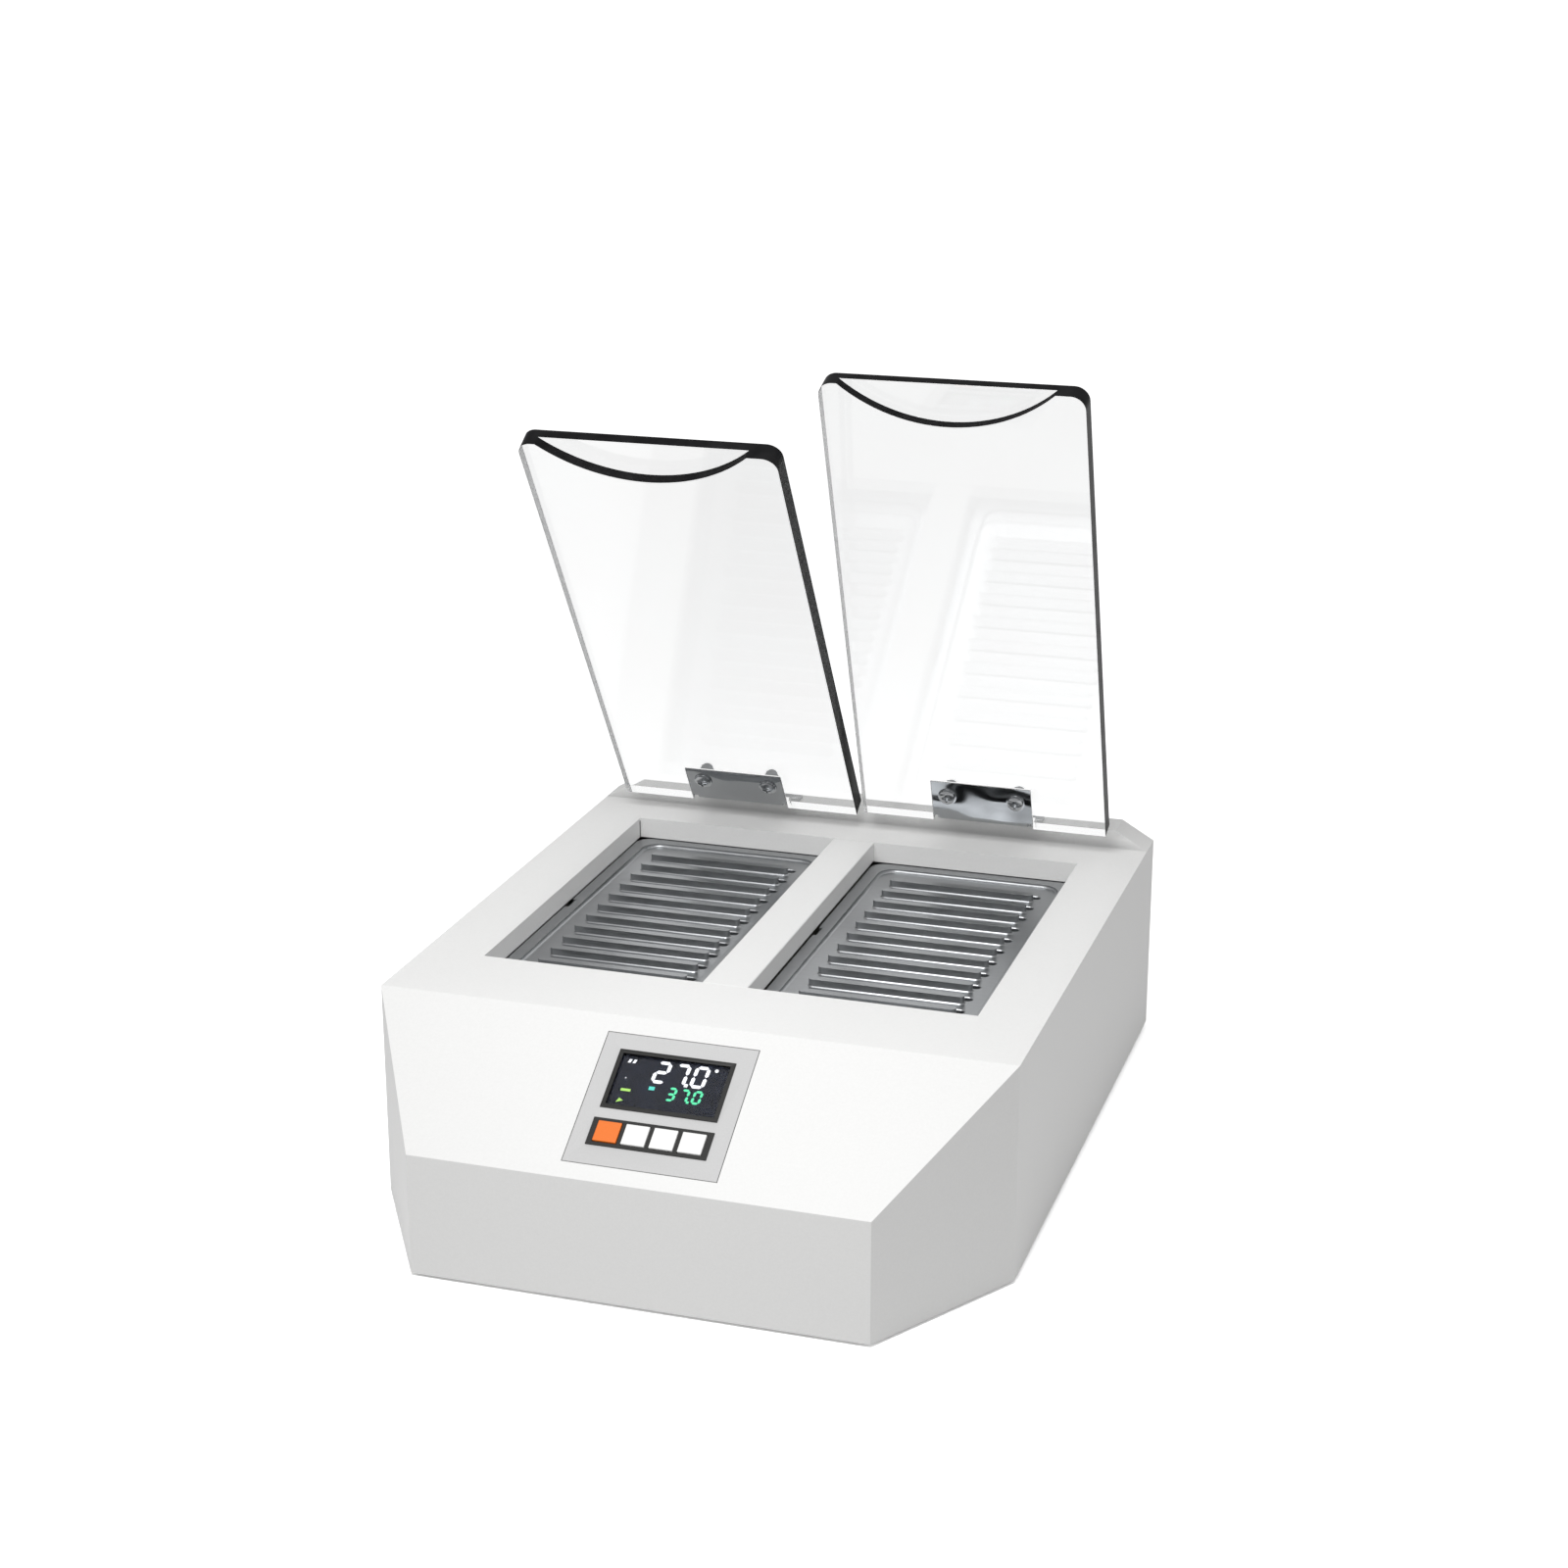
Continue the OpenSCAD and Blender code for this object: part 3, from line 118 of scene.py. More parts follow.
# A noise of one grain size in mm that can tint, roughen and bump the surface
def addGrain(tree, shader, size, tint=None, rough=None, bump=0.0, depth=0.02,
             stretch=(1, 1, 1), detail=3.0):
    place = addNode(tree, "ShaderNodeTexCoord")
    mapping = addNode(tree, "ShaderNodeMapping", inputs={
        "Vector": place.outputs["Object"], "Scale": stretch})
    noise = addNode(tree, "ShaderNodeTexNoise", inputs={
        "Vector": mapping.outputs["Vector"], "Scale": 1 / (size * mm), "Detail": detail})
    if rough:
        spread = addNode(tree, "ShaderNodeMapRange", inputs={
            "Value": noise.outputs["Fac"], "From Min": noiseRange[0], "From Max": noiseRange[1],
            "To Min": rough[0], "To Max": rough[1]})
        tree.links.new(spread.outputs["Result"], shader.inputs["Roughness"])
    if tint:
        ramp = addNode(tree, "ShaderNodeValToRGB", inputs={"Fac": noise.outputs["Fac"]})
        for stop, share, color in zip(ramp.color_ramp.elements, noiseRange, tint):
            stop.position = share
            stop.color = linearColor(color)
        tree.links.new(ramp.outputs["Color"], shader.inputs["Base Color"])
    if bump:
        relief = addNode(tree, "ShaderNodeBump", inputs={
            "Height": noise.outputs["Fac"], "Strength": bump, "Distance": depth * mm})
        tree.links.new(relief.outputs["Normal"], shader.inputs["Normal"])


def grainMaterial(name, color, roughness, sockets=None, **grain):
    material, tree, shader = startMaterial(name, color, roughness, sockets)
    addGrain(tree, shader, **grain)
    return material


# Powder coat on folded sheet: even, satin, with a faint orange peel of about 1 mm
powderCoat = grainMaterial("powder coated sheet steel", "#f4f4f3", 0.42, size=1.1, bump=0.12, depth=0.02,
                           rough=(0.38, 0.48), tint=("#f3f3f2", "#f6f6f5"))
# Milled and anodised aluminium: cutter lines along the rows, blurred by the anodising. The real lines are
# finer than 0.9 mm and wouldn't show
milledAluminium = grainMaterial("milled aluminium", "#a7a9ab", 0.32, {"Metallic": 1.0}, size=0.9,
                                stretch=(0.12, 1, 1), bump=0.2, depth=0.02, rough=(0.28, 0.38),
                                tint=("#a2a4a6", "#acaeb0"))
# Zinc plated sheet: dull, with pale and dark patches a few mm across
zincSteel = grainMaterial("zinc plated sheet", "#b7babd", 0.38, {"Metallic": 1.0}, size=6.0,
                          rough=(0.3, 0.5), tint=("#aeb1b5", "#c0c2c4"))
# Polished stainless steel: a mirror with faint wiping marks
polishedSteel = grainMaterial("polished stainless steel", "#b4b6b8", 0.07, {"Metallic": 1.0}, size=9.0,
                              rough=(0.05, 0.1))
# The same on pressed sheet, which isn't quite flat: its mirror images bend in long waves. Its colour is
# darker than the polished steel's: painted shade, for the dark shade that the leaf mirrors from the ledge
# below it
leafSteelPaintedShade = grainMaterial("pressed stainless sheet, painted shade", "#9c9ea0", 0.07, {"Metallic": 1.0}, size=22.0,
                             bump=1.0, depth=2.0, stretch=(1, 1.3, 1.3), detail=0.0, rough=(0.05, 0.1))
# Turned stainless steel: bright, with fine tool marks
screwSteel = grainMaterial("turned stainless steel", "#b9bbbd", 0.2, {"Metallic": 1.0}, size=0.6,
                           rough=(0.14, 0.28))
# Cast acrylic sheet: clear, its tint uneven by a trace
clearAcrylic = grainMaterial("clear cast acrylic", "#fdfdfd", 0.0,
                             {"Transmission Weight": 1.0, "IOR": 1.49}, size=40.0,
                             tint=("#fcfcfc", "#fdfefe"))
# Polished acrylic edges, in painted shade and painted light: total reflection turns those toward the light
# dark and leaves the others pale, and these opaque colours stand in for it
paintedShadeEdge = grainMaterial("acrylic edge, painted shade", "#1f1f20", 0.2, {"Specular IOR Level": 0.02},
                         size=9.0, tint=("#19191a", "#262627"), rough=(0.15, 0.28))
paintedLightEdge = grainMaterial("acrylic edge, painted light", "#d3d4d5", 0.25, size=9.0, tint=("#cacbcc", "#dcddde"),
                         rough=(0.2, 0.32))
# Moulded ABS: an even matt grain. The real grain is about 0.1 mm and is drawn coarser, so that it shows
plateGrey = grainMaterial("moulded grey ABS", "#cfcfcf", 0.5, size=0.5, bump=0.15, depth=0.01,
                          rough=(0.45, 0.58), tint=("#cdcdcd", "#d2d2d2"))
frameDark = grainMaterial("moulded dark ABS", "#2c2c2b", 0.45, {"Specular IOR Level": 0.3}, size=0.4,
                          bump=0.15, depth=0.01, rough=(0.4, 0.52), tint=("#292928", "#2f2f2e"))
# Moulded key caps: satin and evenly coloured
keyOrange = grainMaterial("orange key cap", "#f87c20", 0.42, size=0.5, bump=0.08, depth=0.01,
                          rough=(0.38, 0.48), tint=("#f67a1e", "#fa7e23"))
keyWhite = grainMaterial("white key cap", "#fbfbfa", 0.42, size=0.5, bump=0.08, depth=0.01,
                         rough=(0.38, 0.48), tint=("#f9f9f8", "#fdfdfc"))
# Coated window sheet: the coating takes away most of the glare, so its IOR is below that of plain sheet
windowClear = grainMaterial("coated display window", "#ffffff", 0.02,
                            {"Transmission Weight": 1.0, "IOR": 1.22}, size=20.0, rough=(0.0, 0.03))
# Display glass, unlit: near black with a trace of blue
displayDark = grainMaterial("display glass", "#222632", 0.35, {"Specular IOR Level": 0.15}, size=7.0,
                            tint=("#20232c", "#242939"), rough=(0.3, 0.4))
# Moulded rubber: matt black with a dusty grain
footRubber = grainMaterial("foot rubber", "#222222", 0.75, size=0.8, bump=0.2, depth=0.03,
                           tint=("#1e1e1e", "#262626"))
# Silicone heater mat: matt, with the weave of its glass cloth just showing
siliconeMat = grainMaterial("silicone heater mat", "#b4561f", 0.6, size=1.5, bump=0.3, depth=0.05,
                            tint=("#ab501b", "#bd5c24"))
# Closed cell foam: dull, pitted by cut cells of about 1 mm
cellFoam = grainMaterial("closed cell foam", "#c9c8c4", 0.9, size=1.2, bump=0.6, depth=0.15,
                         tint=("#bfbeba", "#d2d1cd"))
# Solder mask on a circuit board: half gloss dark green
boardGreen = grainMaterial("solder mask", "#1c5a35", 0.35, size=2.0, rough=(0.3, 0.42),
                           tint=("#195330", "#20633b"))
# Moulded nylon: satin black
blackPlastic = grainMaterial("black nylon", "#161616", 0.45, size=0.4, bump=0.15, depth=0.01,
                             rough=(0.4, 0.52), tint=("#131313", "#1b1b1b"))
# Turned brass: warm and bright, with fine tool marks
brassBar = grainMaterial("turned brass", "#c9a85c", 0.28, {"Metallic": 1.0}, size=0.6, rough=(0.22, 0.36))
# Varnished winding: brown gloss over ridges of wire
windingVarnish = grainMaterial("varnished winding", "#7a4a22", 0.35, size=0.7, bump=0.4, depth=0.08,
                               stretch=(1, 1, 3), tint=("#6c401c", "#885428"))
# Shrink sleeve: smooth dark blue grey
shrinkSleeve = grainMaterial("shrink sleeve", "#2c3a42", 0.4, size=3.0, rough=(0.32, 0.46),
                             tint=("#28353c", "#314048"))
# Pressed steatite: matt cream ceramic
steatite = grainMaterial("steatite body", "#c7b48f", 0.6, size=0.9, bump=0.2, depth=0.03,
                         tint=("#bfac87", "#cfbc98"))


# Lit display segments: flat colour that glows about as bright as it is written
def litMaterial(name, color, strength):
    material, tree, shader = startMaterial(name, color, 0.4)
    addGrain(tree, shader, size=2.0, rough=(0.35, 0.45))
    shader.inputs["Emission Color"].default_value = linearColor(color)
    shader.inputs["Emission Strength"].default_value = strength
    return material


litWhite = litMaterial("lit white segments", "#f4f6fb", 0.55)
litGreen = litMaterial("lit green segments", "#57e0a8", 0.45)
litYellow = litMaterial("lit yellow green marks", "#a5d865", 0.45)
litTeal = litMaterial("lit teal mark", "#4fd0c0", 0.45)

print("materials made")


# Pieces made from the CAD nodes

meshSettings = {
    "mergeWithin": 1e-6,    # m, corners closer than this are one
    "flatWithin": 0.6,      # degrees, triangles that turn less are one face
    "sharpFrom": 30,        # degrees, edges that turn more look sharp
}


def mergedCopy(nodeName):
    s = meshSettings
    work = bmesh.new()
    work.from_mesh(nodes[nodeName].data)
    bmesh.ops.remove_doubles(work, verts=work.verts, dist=s["mergeWithin"])
    bmesh.ops.dissolve_limit(work, angle_limit=math.radians(s["flatWithin"]), verts=work.verts,
                             edges=work.edges)
    return work


def shadeMesh(mesh):
    mesh.shade_smooth()
    mesh.set_sharp_from_angle(angle=math.radians(meshSettings["sharpFrom"]))


def finishPiece(work, pieceName, materials):
    mesh = bpy.data.meshes.new(pieceName)
    work.to_mesh(mesh)
    work.free()
    for material in materials:
        mesh.materials.append(material)
    piece = bpy.data.objects.new(pieceName, mesh)
    bpy.context.scene.collection.objects.link(piece)
    shadeMesh(mesh)
    return piece


# Turns what the modifiers make into a plain mesh
def applyModifiers(piece):
    graph = bpy.context.evaluated_depsgraph_get()
    made = bpy.data.meshes.new_from_object(piece.evaluated_get(graph))
    old = piece.data
    piece.modifiers.clear()
    piece.data = made
    bpy.data.meshes.remove(old)
    made.name = piece.name


# Rounds the edges of a piece by a width in mm; weighted means by each edge's own share of it
def softenEdges(piece, width, segments=2, angle=28, weighted=False, harden=True):
    bevel = piece.modifiers.new("soften", "BEVEL")
    bevel.width = width * mm
    bevel.segments = segments
    bevel.limit_method = "WEIGHT" if weighted else "ANGLE"
    bevel.angle_limit = math.radians(angle)
    bevel.harden_normals = harden
    bevel.use_clamp_overlap = True
    bevel.miter_outer = "MITER_ARC"
    applyModifiers(piece)


# A copy of a CAD node with its edges rounded, in the node's place
def standIn(nodeName, body, material, width, segments=2, angle=28):
    piece = finishPiece(mergedCopy(nodeName), nodeName + "_finished", [material])
    softenEdges(piece, width, segments, angle)
    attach(piece, body)
    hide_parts(nodeName)


# Housing

housingSettings = {
    "bend": 1.7,          # mm, rounding of the folds
    "edge": 0.25,         # mm, rounding of the sheet's own edges
    "sheet": 1.5,         # mm, thickness of the sheet
    "wideFrom": 2.2,      # thicknesses, a wider face is a panel and no sheet edge
    "foldFrom": 12,       # degrees, edges that turn less stay as they are
    "dividerFold": 0.9,   # mm, rounding of the divider's folds
}


# Width of a face across its longest edge: the sheet's own edges come out at its thickness
def narrowSide(face):
    longest = max(edge.calc_length() for edge in face.edges)
    return face.calc_area() / longest if longest else 0


def makeHousing():
    s = housingSettings
    work = mergedCopy("housing")
    weights = work.edges.layers.float.new("bevel_weight_edge")
    panelWidth = s["wideFrom"] * s["sheet"] * mm
    for edge in work.edges:
        if len(edge.link_faces) != 2 or not edge.is_convex:
            continue
        if edge.calc_face_angle(0) < math.radians(s["foldFrom"]):
            continue
        wide = min(narrowSide(face) for face in edge.link_faces) > panelWidth
        edge[weights] = 1.0 if wide else s["edge"] / s["bend"]
    piece = finishPiece(work, "housing_finished", [powderCoat])
    softenEdges(piece, s["bend"], 3, weighted=True)
    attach(piece, "base")
    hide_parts("housing")


makeHousing()
standIn("well_divider", "base", powderCoat, housingSettings["dividerFold"], 3)
print("housing made")


# Blocks

blockSettings = {"edge": 0.22, "roundFrom": 35}    # mm, and degrees from which an edge is rounded

for side in ("left", "right"):
    standIn(side + "_block", "base", milledAluminium, blockSettings["edge"],
            angle=blockSettings["roundFrom"])
print("blocks made")


# Lids

lidSettings = {
    "soft": 0.35,         # mm, rounding of the edges
    "roundFrom": 35,      # degrees from which an edge is rounded
    "endReach": 3.0,      # mm, faces this near the free end belong to it
    "thumbReach": 30.0,   # mm, the thumb recess lies this near the free end
    "halfWidth": 55.0,    # mm, faces further left belong to the left edge
    "flatArea": 40.0,     # square mm, larger faces are shaded flat
    # How far a face has to point in a direction to count as one that faces there
    "toFlat": 0.7,
    "toRight": 0.3,
    "toLeft": 0.6,
    "toEnd": 0.2,
    "toThumb": 0.1,
    "toHinge": 0.5,
}


# At rest a lid is this many degrees open, and the joint's lower limit is where it is closed
def openAngle(side):
    return -joints[side + "_lid_hinge"]["range_deg"][0]


# Turns a closed lid's own coordinates (hinge axis at the origin) into the frame
def lidMatrix(side):
    hinge = joints[side + "_lid_hinge"]
    turn = Matrix.Rotation(math.radians(-openAngle(side)), 4, "X")
    return Matrix.Translation(Vector(hinge["pos_m"])) @ turn


# A lid's edges get painted shade and painted light: near black towards the light, at the free end and at
# the thumb recess, where total reflection shows them dark, and pale grey on the left
def makeLid(side):
    s = lidSettings
    name = side + "_lid"
    work = mergedCopy(name)
    back = lidMatrix(side).inverted()
    normals = back.to_3x3()
    places = [back @ vert.co for vert in work.verts]
    freeEnd = min(place.y for place in places)
    for face in work.faces:
        normal = normals @ face.normal
        middle = back @ face.calc_center_median()
        flat = abs(normal.z) > s["toFlat"]
        rightSide = normal.x > s["toRight"] and middle.x > 0 and normal.y < s["toHinge"]
        leftSide = normal.x < -s["toLeft"] and middle.x < -s["halfWidth"] * mm
        atEnd = normal.y < -s["toEnd"] and middle.y < freeEnd + s["endReach"] * mm
        thumbWall = normal.y < -s["toThumb"] and middle.y < freeEnd + s["thumbReach"] * mm
        # painted shade: faces that total reflection shows dark get an opaque near-black colour, the left
        # faces a pale painted light
        paintedShade = not flat and (rightSide or atEnd or thumbWall)
        face.material_index = 1 if paintedShade else 2 if leftSide and not flat else 0
    piece = finishPiece(work, name + "_finished", [clearAcrylic, paintedShadeEdge, paintedLightEdge])
    softenEdges(piece, s["soft"], 2, s["roundFrom"], harden=False)
    for polygon in piece.data.polygons:
        polygon.use_smooth = polygon.area < s["flatArea"] * mm * mm
    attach(piece, name)
    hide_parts(name)


for side in ("left", "right"):
    makeLid(side)
print("lids made")


# Hinges

hingeEdges = {"leaf": 0.2, "nuts": 0.15, "washers": 0.08, "base": 0.2, "pin": 0.2}    # mm


def makeHinge(side):
    s = hingeEdges
    lid = side + "_lid"
    standIn(side + "_leaf", lid, leafSteelPaintedShade, s["leaf"])
    standIn(side + "_cap_nuts", lid, polishedSteel, s["nuts"])
    standIn(side + "_washers", lid, polishedSteel, s["washers"])
    standIn(side + "_hinge_base", "base", polishedSteel, s["base"])
    standIn(side + "_hinge_pin", "base", screwSteel, s["pin"])


for side in ("left", "right"):
    makeHinge(side)
print("hinges made")


# Control panel

panelEdges = {"plate": 0.15, "frame": 0.12, "window": 0.1, "module": 0.2, "key": 0.3}    # mm

standIn("control_plate", "base", plateGrey, panelEdges["plate"])
standIn("display_frame", "base", frameDark, panelEdges["frame"])
standIn("display_window", "base", windowClear, panelEdges["window"])
standIn("display_module", "base", displayDark, panelEdges["module"])
standIn("key_1", "key_1", keyOrange, panelEdges["key"], 3)
for number in ("2", "3", "4"):
    standIn("key_" + number, "key_" + number, keyWhite, panelEdges["key"], 3)

slopeSettings = {
    "frontHeight": 55.416,    # mm, the housing's front below the slope
    "footGap": 1.5,           # mm, from the feet's soles to the housing
    "angle": 31.58,           # degrees
}


# Lays slope coordinates in mm (across, up the slope, outward) on the sloped panel
def slopeMatrix():
    s = slopeSettings
    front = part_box("housing")[0].y
    start = Vector((0, front, (s["frontHeight"] + s["footGap"]) * mm))
    turn = Matrix.Rotation(math.radians(s["angle"]), 4, "X")
    return Matrix.Translation(start) @ turn @ Matrix.Scale(mm, 4)


# Ends of the seven segments of a digit, as shares of its width and height
segmentShapes = {"a": (0, 1, 1, 1), "b": (1, 0.5, 1, 1), "c": (1, 0, 1, 0.5), "d": (0, 0, 1, 0),
                 "e": (0, 0, 0, 0.5), "f": (0, 0.5, 0, 1), "g": (0, 0.5, 1, 0.5)}
litSegments = {"0": "abcdef", "2": "abged", "3": "abgcd", "7": "abc"}

# Sizes in mm, left and low counted from the middle of the slope's foot
displaySettings = {
    "level": -1.46,
    "thick": 0.08,
    "slant": math.tan(math.radians(4)),
    "gap": 0.12,    # between two segments, as a share of the stroke
    "large": {"digits": "270", "left": -8.9, "low": 52.4, "pitch": 8.6, "width": 6.7, "height": 11.4,
              "stroke": 1.6, "dot": 7.1},
    "small": {"digits": "370", "left": -0.2, "low": 44.4, "pitch": 5.75, "width": 4.2, "height": 7.0,
              "stroke": 1.15, "dot": 10.2},
}


# Marks beside the digits: (x, y, width, height), with sides for round and three-sided ones
displayMarks = {
    "white": [
        {"at": (18.3, 62.4, 1.7, 1.7), "sides": 12},
        {"at": (-20.6, 61.9, 1.2, 1.8), "lean": 0.3},
        {"at": (-18.4, 61.9, 1.2, 1.8), "lean": 0.3},
        {"at": (-19.9, 53.2, 0.6, 0.6), "sides": 8},
    ],
    "yellow": [
        {"at": (-18.1, 47.2, 4.4, 1.3)},
        {"at": (-19.3, 41.8, 3.3, 2.8), "sides": 3, "lean": 0.4},
    ],
    "teal": [
        {"at": (-7.1, 49.6, 2.6, 1.8)},
    ],
}


def addPlate(work, outline, level, thick):
    low = [work.verts.new((x, y, level)) for x, y in outline]
    high = [work.verts.new((x, y, level + thick)) for x, y in outline]
    count = len(outline)
    work.faces.new(list(reversed(low)))
    work.faces.new(high)
    for i in range(count):
        j = (i + 1) % count
        work.faces.new((low[i], low[j], high[j], high[i]))


def segmentOutline(x0, y0, x1, y1, stroke):
    along = Vector((x1 - x0, y1 - y0)).normalized()
    across = Vector((-along.y, along.x)) * stroke / 2
    gap = stroke * displaySettings["gap"]
    start = Vector((x0, y0)) + along * gap
    end = Vector((x1, y1)) - along * gap
    tip = along * stroke / 2
    return [start, start + tip - across, end - tip - across, end, end - tip + across, start + tip + across]


def addDigits(work, row):
    s = displaySettings
    stroke = row["stroke"]
    for place, digit in enumerate(row["digits"]):
        left = row["left"] + place * row["pitch"]
        for letter in litSegments[digit]:
            x0, y0, x1, y1 = segmentShapes[letter]
            spanX = row["width"] - stroke
            spanY = row["height"] - stroke
            points = segmentOutline(x0 * spanX, y0 * spanY, x1 * spanX, y1 * spanY, stroke)
            outline = [(left + stroke / 2 + p.x + (p.y + stroke / 2) * s["slant"],
                        row["low"] + stroke / 2 + p.y) for p in points]
            addPlate(work, outline, s["level"], s["thick"])
    addMark(work, (row["dot"], row["low"] + stroke / 2, stroke, stroke))


def addMark(work, at, sides=4, lean=0.0):
    s = displaySettings
    x, y, width, height = at
    if sides == 4:
        corners = [(-0.5, -0.5), (0.5, -0.5), (0.5, 0.5), (-0.5, 0.5)]
    else:
        corners = [(math.cos(math.tau * i / sides) / 2, math.sin(math.tau * i / sides) / 2)
                   for i in range(sides)]
    outline = [(x + cx * width + lean * cy * height, y + cy * height) for cx, cy in corners]
    addPlate(work, outline, s["level"], s["thick"])


def finishMarks(work, pieceName, material):
    bmesh.ops.recalc_face_normals(work, faces=work.faces)
    work.transform(slopeMatrix())
    piece = finishPiece(work, pieceName, [material])
    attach(piece, "base")


def makeLitPiece(pieceName, material, row=None, marks=()):
    work = bmesh.new()
    if row:
        addDigits(work, row)
    for mark in marks:
        addMark(work, **mark)
    finishMarks(work, pieceName, material)


makeLitPiece("display_upper_row", litWhite, displaySettings["large"], displayMarks["white"])
makeLitPiece("display_lower_row", litGreen, displaySettings["small"])
makeLitPiece("display_side_marks", litYellow, marks=displayMarks["yellow"])
makeLitPiece("display_row_mark", litTeal, marks=displayMarks["teal"])
print("control panel made")


# Screws with a cross recess, made by one Geometry Nodes tree

crossHeadSettings = {
    "dome": 0.78,      # radius of the head's dome, as a share of its diameter
    "recess": 0.56,    # length of the recess, as a share of it too
    "drumSides": 48,
    "domeSides": 64,
    "shankSides": 32,
}


def crossHeadTree():
    s = crossHeadSettings
    tree = bpy.data.node_groups.new("cross recess pan heads", "GeometryNodeTree")
    face = tree.interface
    face.new_socket(name="Places", in_out="INPUT", socket_type="NodeSocketGeometry")
    for name in ("Head Diameter", "Head Height", "Shank Diameter", "Shank Length", "Recess Width"):
        face.new_socket(name=name, in_out="INPUT", socket_type="NodeSocketFloat")
    face.new_socket(name="Finish", in_out="INPUT", socket_type="NodeSocketMaterial")
    face.new_socket(name="Screws", in_out="OUTPUT", socket_type="NodeSocketGeometry")
    given = addNode(tree, "NodeGroupInput").outputs

    def calc(operation, first, second):
        return addNode(tree, "ShaderNodeMath", {"operation": operation},
                       {0: first, 1: second}).outputs["Value"]

    def lifted(geometry, height):
        offset = addNode(tree, "ShaderNodeCombineXYZ", inputs={"Z": height}).outputs["Vector"]
        return addNode(tree, "GeometryNodeTransform", inputs={
            "Geometry": geometry, "Translation": offset}).outputs["Geometry"]

    headRadius = calc("MULTIPLY", given["Head Diameter"], 0.5)
    drum = addNode(tree, "GeometryNodeMeshCylinder", inputs={
        "Vertices": s["drumSides"], "Radius": headRadius, "Depth": given["Head Height"]})
    drum = lifted(drum.outputs["Mesh"], calc("MULTIPLY", given["Head Height"], 0.5))
    ballRadius = calc("MULTIPLY", given["Head Diameter"], s["dome"])
    ball = addNode(tree, "GeometryNodeMeshUVSphere", inputs={
        "Segments": s["domeSides"], "Rings": s["domeSides"], "Radius": ballRadius})
    ball = lifted(ball.outputs["Mesh"], calc("SUBTRACT", given["Head Height"], ballRadius))
    head = addNode(tree, "GeometryNodeMeshBoolean", {"operation": "INTERSECT", "solver": "EXACT"})
    tree.links.new(drum, head.inputs["Mesh 2"])
    tree.links.new(ball, head.inputs["Mesh 2"])
    cut = addNode(tree, "GeometryNodeMeshBoolean", {"operation": "DIFFERENCE", "solver": "EXACT"},
                  {"Mesh 1": head.outputs["Mesh"]})
    recessLong = calc("MULTIPLY", given["Head Diameter"], s["recess"])
    for long, short in ((recessLong, given["Recess Width"]), (given["Recess Width"], recessLong)):
        size = addNode(tree, "ShaderNodeCombineXYZ", inputs={
            "X": long, "Y": short, "Z": given["Head Height"]}).outputs["Vector"]
        bar = addNode(tree, "GeometryNodeMeshCube", inputs={"Size": size})
        tree.links.new(lifted(bar.outputs["Mesh"], given["Head Height"]), cut.inputs["Mesh 2"])
    shank = addNode(tree, "GeometryNodeMeshCylinder", inputs={
        "Vertices": s["shankSides"], "Radius": calc("MULTIPLY", given["Shank Diameter"], 0.5),
        "Depth": given["Shank Length"]})
    shank = lifted(shank.outputs["Mesh"], calc("MULTIPLY", given["Shank Length"], -0.5))
    whole = addNode(tree, "GeometryNodeJoinGeometry")
    tree.links.new(cut.outputs["Mesh"], whole.inputs["Geometry"])
    tree.links.new(shank, whole.inputs["Geometry"])
    spread = addNode(tree, "GeometryNodeInstanceOnPoints", inputs={
        "Points": given["Places"], "Instance": whole.outputs["Geometry"]})
    real = addNode(tree, "GeometryNodeRealizeInstances", inputs={"Geometry": spread.outputs["Instances"]})
    painted = addNode(tree, "GeometryNodeSetMaterial", inputs={
        "Geometry": real.outputs["Geometry"], "Material": given["Finish"]})
    addNode(tree, "NodeGroupOutput", inputs={"Screws": painted.outputs["Geometry"]})
    return tree


crossHeads = crossHeadTree()


# A modifier's input is set by the identifier of the socket that has this name
def setInput(modifier, name, value):
    for item in modifier.node_group.interface.items_tree:
        if item.name == name and item.in_out == "INPUT":
            modifier[item.identifier] = value


# Screws at places in their own flat frame (head along +z), then moved by a matrix into the part
def placeScrews(pieceName, nodeName, body, places, matrix, sizes, finish):
    mesh = bpy.data.meshes.new(pieceName)
    mesh.from_pydata([Vector(place) * mm for place in places], [], [])
    piece = bpy.data.objects.new(pieceName, mesh)
    bpy.context.scene.collection.objects.link(piece)
    modifier = piece.modifiers.new("screws", "NODES")
    modifier.node_group = crossHeads
    for name, value in sizes.items():
        setInput(modifier, name, value * mm)
    setInput(modifier, "Finish", finish)
    applyModifiers(piece)
    piece.data.transform(matrix)
    shadeMesh(piece.data)
    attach(piece, body)
    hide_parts(nodeName)


# Sizes in mm, in a closed lid's own coordinates
leafScrewSettings = {
    "fromHinge": -17.9,
    "underside": -9.5,
    "pitch": 35.0,
    "washer": 0.5,
    "sizes": {"Head Diameter": 8.0, "Head Height": 2.2, "Shank Diameter": 3.96, "Shank Length": 13.4,
              "Recess Width": 1.1},
}


def makeLeafScrews():
    s = leafScrewSettings
    for side in ("left", "right"):
        flip = Matrix.Rotation(math.pi, 4, "X")
        local = Matrix.Translation((0, s["fromHinge"] * mm, s["underside"] * mm))
        places = [(x * s["pitch"] / 2, 0, s["washer"]) for x in (-1, 1)]
        placeScrews(side + "_leaf_screws_finished", side + "_leaf_screws", side + "_lid", places,
                    lidMatrix(side) @ local @ flip, s["sizes"], polishedSteel)


makeLeafScrews()
print("screws made")


# Nodes that keep their CAD shape

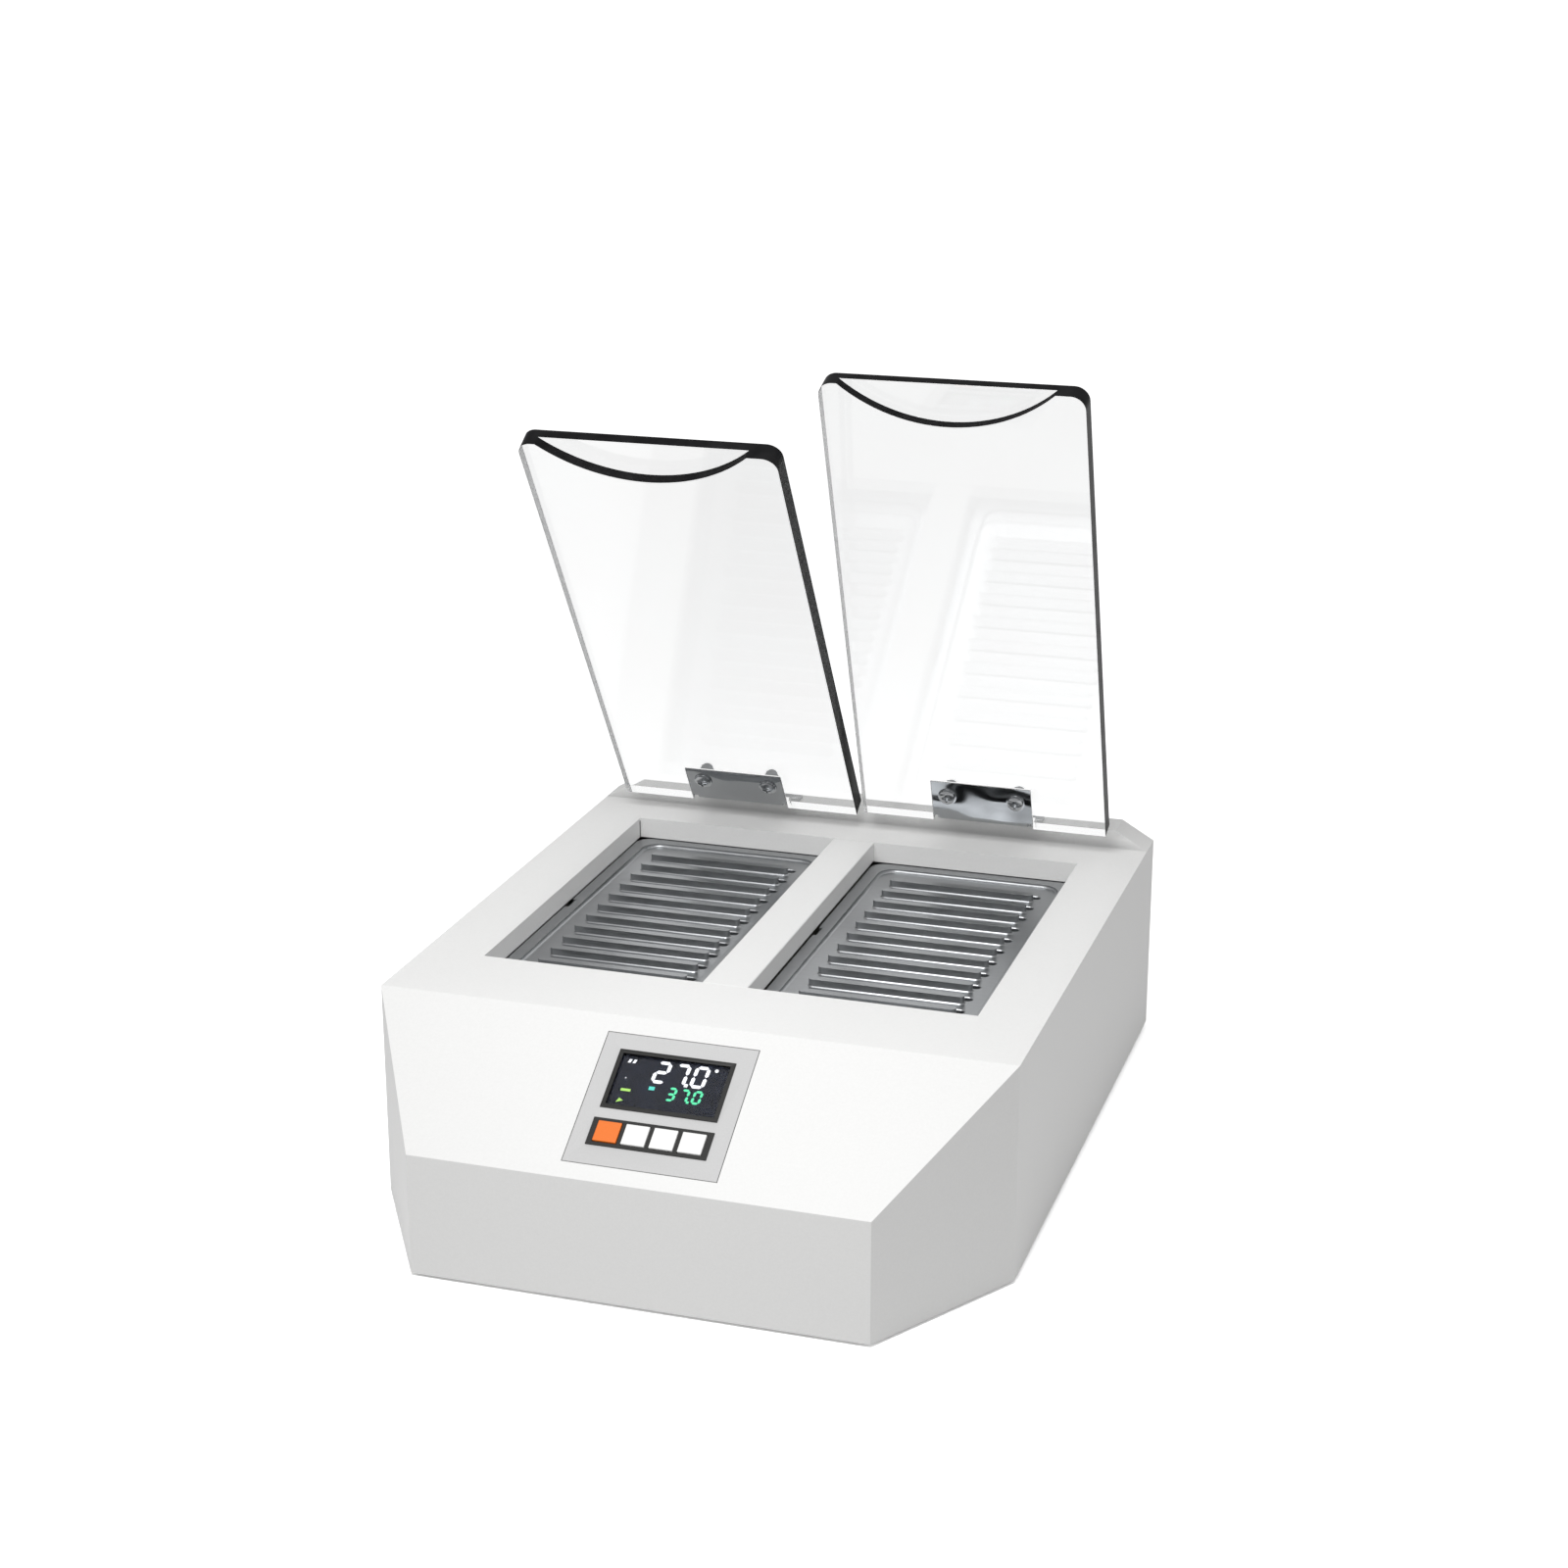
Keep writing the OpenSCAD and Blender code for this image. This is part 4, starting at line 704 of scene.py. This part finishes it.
keptNodes = {
    "key_frame": frameDark,
    "base_plate": zincSteel,
    "base_screws": screwSteel,
    "feet": footRubber,
    "foot_screws": screwSteel,
    "rear_panel": powderCoat,
    "rear_panel_screws": screwSteel,
    "left_heater": siliconeMat,
    "right_heater": siliconeMat,
    "left_insulation": cellFoam,
    "right_insulation": cellFoam,
    "block_tray": zincSteel,
    "tray_posts": brassBar,
    "block_screws": screwSteel,
    "temperature_probes": screwSteel,
    "thermal_cutouts": steatite,
    "control_board": boardGreen,
    "push_switches": blackPlastic,
    "control_board_screws": screwSteel,
    "power_board": boardGreen,
    "power_board_posts": brassBar,
    "transformer": windingVarnish,
    "capacitors": shrinkSleeve,
    "heat_sink": milledAluminium,
    "mains_inlet": blackPlastic,
    "inlet_pins": brassBar,
    "switch_body": blackPlastic,
    "switch_rocker": blackPlastic,
    "hinge_base_screws": screwSteel,
}
for name, material in keptNodes.items():
    mesh = nodes[name].data
    mesh.materials.clear()
    mesh.materials.append(material)
print("kept nodes painted")


# Floor, light and background

stageSettings = {
    "floorHalf": 30.0,       # m
    # Floor colour in plain light, as the camera sees it, in a mirror and through clear sheet
    "floorPlain": 0.6,
    "floorSeen": 2.3,
    "floorMirrored": 1.4,
    "floorThrough": 1.83,
    # Strength of the sky, for the same four
    "skyPlain": 0.5,
    "skySeen": 1.0,
    "skyMirrored": 0.52,
    "skyThrough": 1.0,
    "boxPower": 2.7,         # W
    "boxSize": 0.4,          # m
    "boxAt": (0.0, -0.4, 0.7),
    "boxAim": (0.0, -0.16, 0.1),
}


# One value for plain light, and others for what the camera meets directly, in a mirror or through clear
# sheet. A ray through clear sheet also counts as glossy, so the check for it comes later
def byRay(tree, plain, seen, mirrored, through):
    path = addNode(tree, "ShaderNodeLightPath")
    value = plain
    choices = (("Is Glossy Ray", mirrored), ("Is Transmission Ray", through), ("Is Camera Ray", seen))
    for ray, other in choices:
        pick = addNode(tree, "ShaderNodeMix", {"data_type": "FLOAT"}, {0: path.outputs[ray]})
        pick.inputs[3].default_value = other
        if isinstance(value, bpy.types.NodeSocket):
            tree.links.new(value, pick.inputs[2])
        else:
            pick.inputs[2].default_value = value
        value = pick.outputs[0]
    return value


def makeFloor():
    s = stageSettings
    half = s["floorHalf"]
    corners = [(-half, -half, 0), (half, -half, 0), (half, half, 0), (-half, half, 0)]
    mesh = bpy.data.meshes.new("floor")
    mesh.from_pydata(corners, [], [(0, 1, 2, 3)])
    floor = bpy.data.objects.new("floor", mesh)
    bpy.context.scene.collection.objects.link(floor)
    material = bpy.data.materials.new("pale floor")
    material.use_nodes = True
    tree = material.node_tree
    tree.nodes.clear()
    level = byRay(tree, s["floorPlain"], s["floorSeen"], s["floorMirrored"], s["floorThrough"])
    color = addNode(tree, "ShaderNodeCombineColor", inputs={"Red": level, "Green": level, "Blue": level})
    matt = addNode(tree, "ShaderNodeBsdfDiffuse", inputs={"Color": color.outputs["Color"]})
    addNode(tree, "ShaderNodeOutputMaterial", inputs={"Surface": matt.outputs["BSDF"]})
    mesh.materials.append(material)


def makeLight():
    s = stageSettings
    world = bpy.data.worlds.new("studio")
    bpy.context.scene.world = world
    world.use_nodes = True
    tree = world.node_tree
    tree.nodes.clear()
    level = byRay(tree, s["skyPlain"], s["skySeen"], s["skyMirrored"], s["skyThrough"])
    sky = addNode(tree, "ShaderNodeBackground", inputs={"Color": (1, 1, 1, 1), "Strength": level})
    addNode(tree, "ShaderNodeOutputWorld", inputs={"Surface": sky.outputs["Background"]})
    lamp = bpy.data.lights.new("soft box", "AREA")
    lamp.shape = "DISK"
    lamp.size = s["boxSize"]
    lamp.energy = s["boxPower"]
    box = bpy.data.objects.new("soft box", lamp)
    box.location = s["boxAt"]
    aim = Vector(s["boxAim"]) - Vector(s["boxAt"])
    box.rotation_euler = aim.to_track_quat("-Z", "Y").to_euler()
    box.visible_camera = False
    box.visible_transmission = False
    bpy.context.scene.collection.objects.link(box)


makeFloor()
makeLight()
print("stage made")
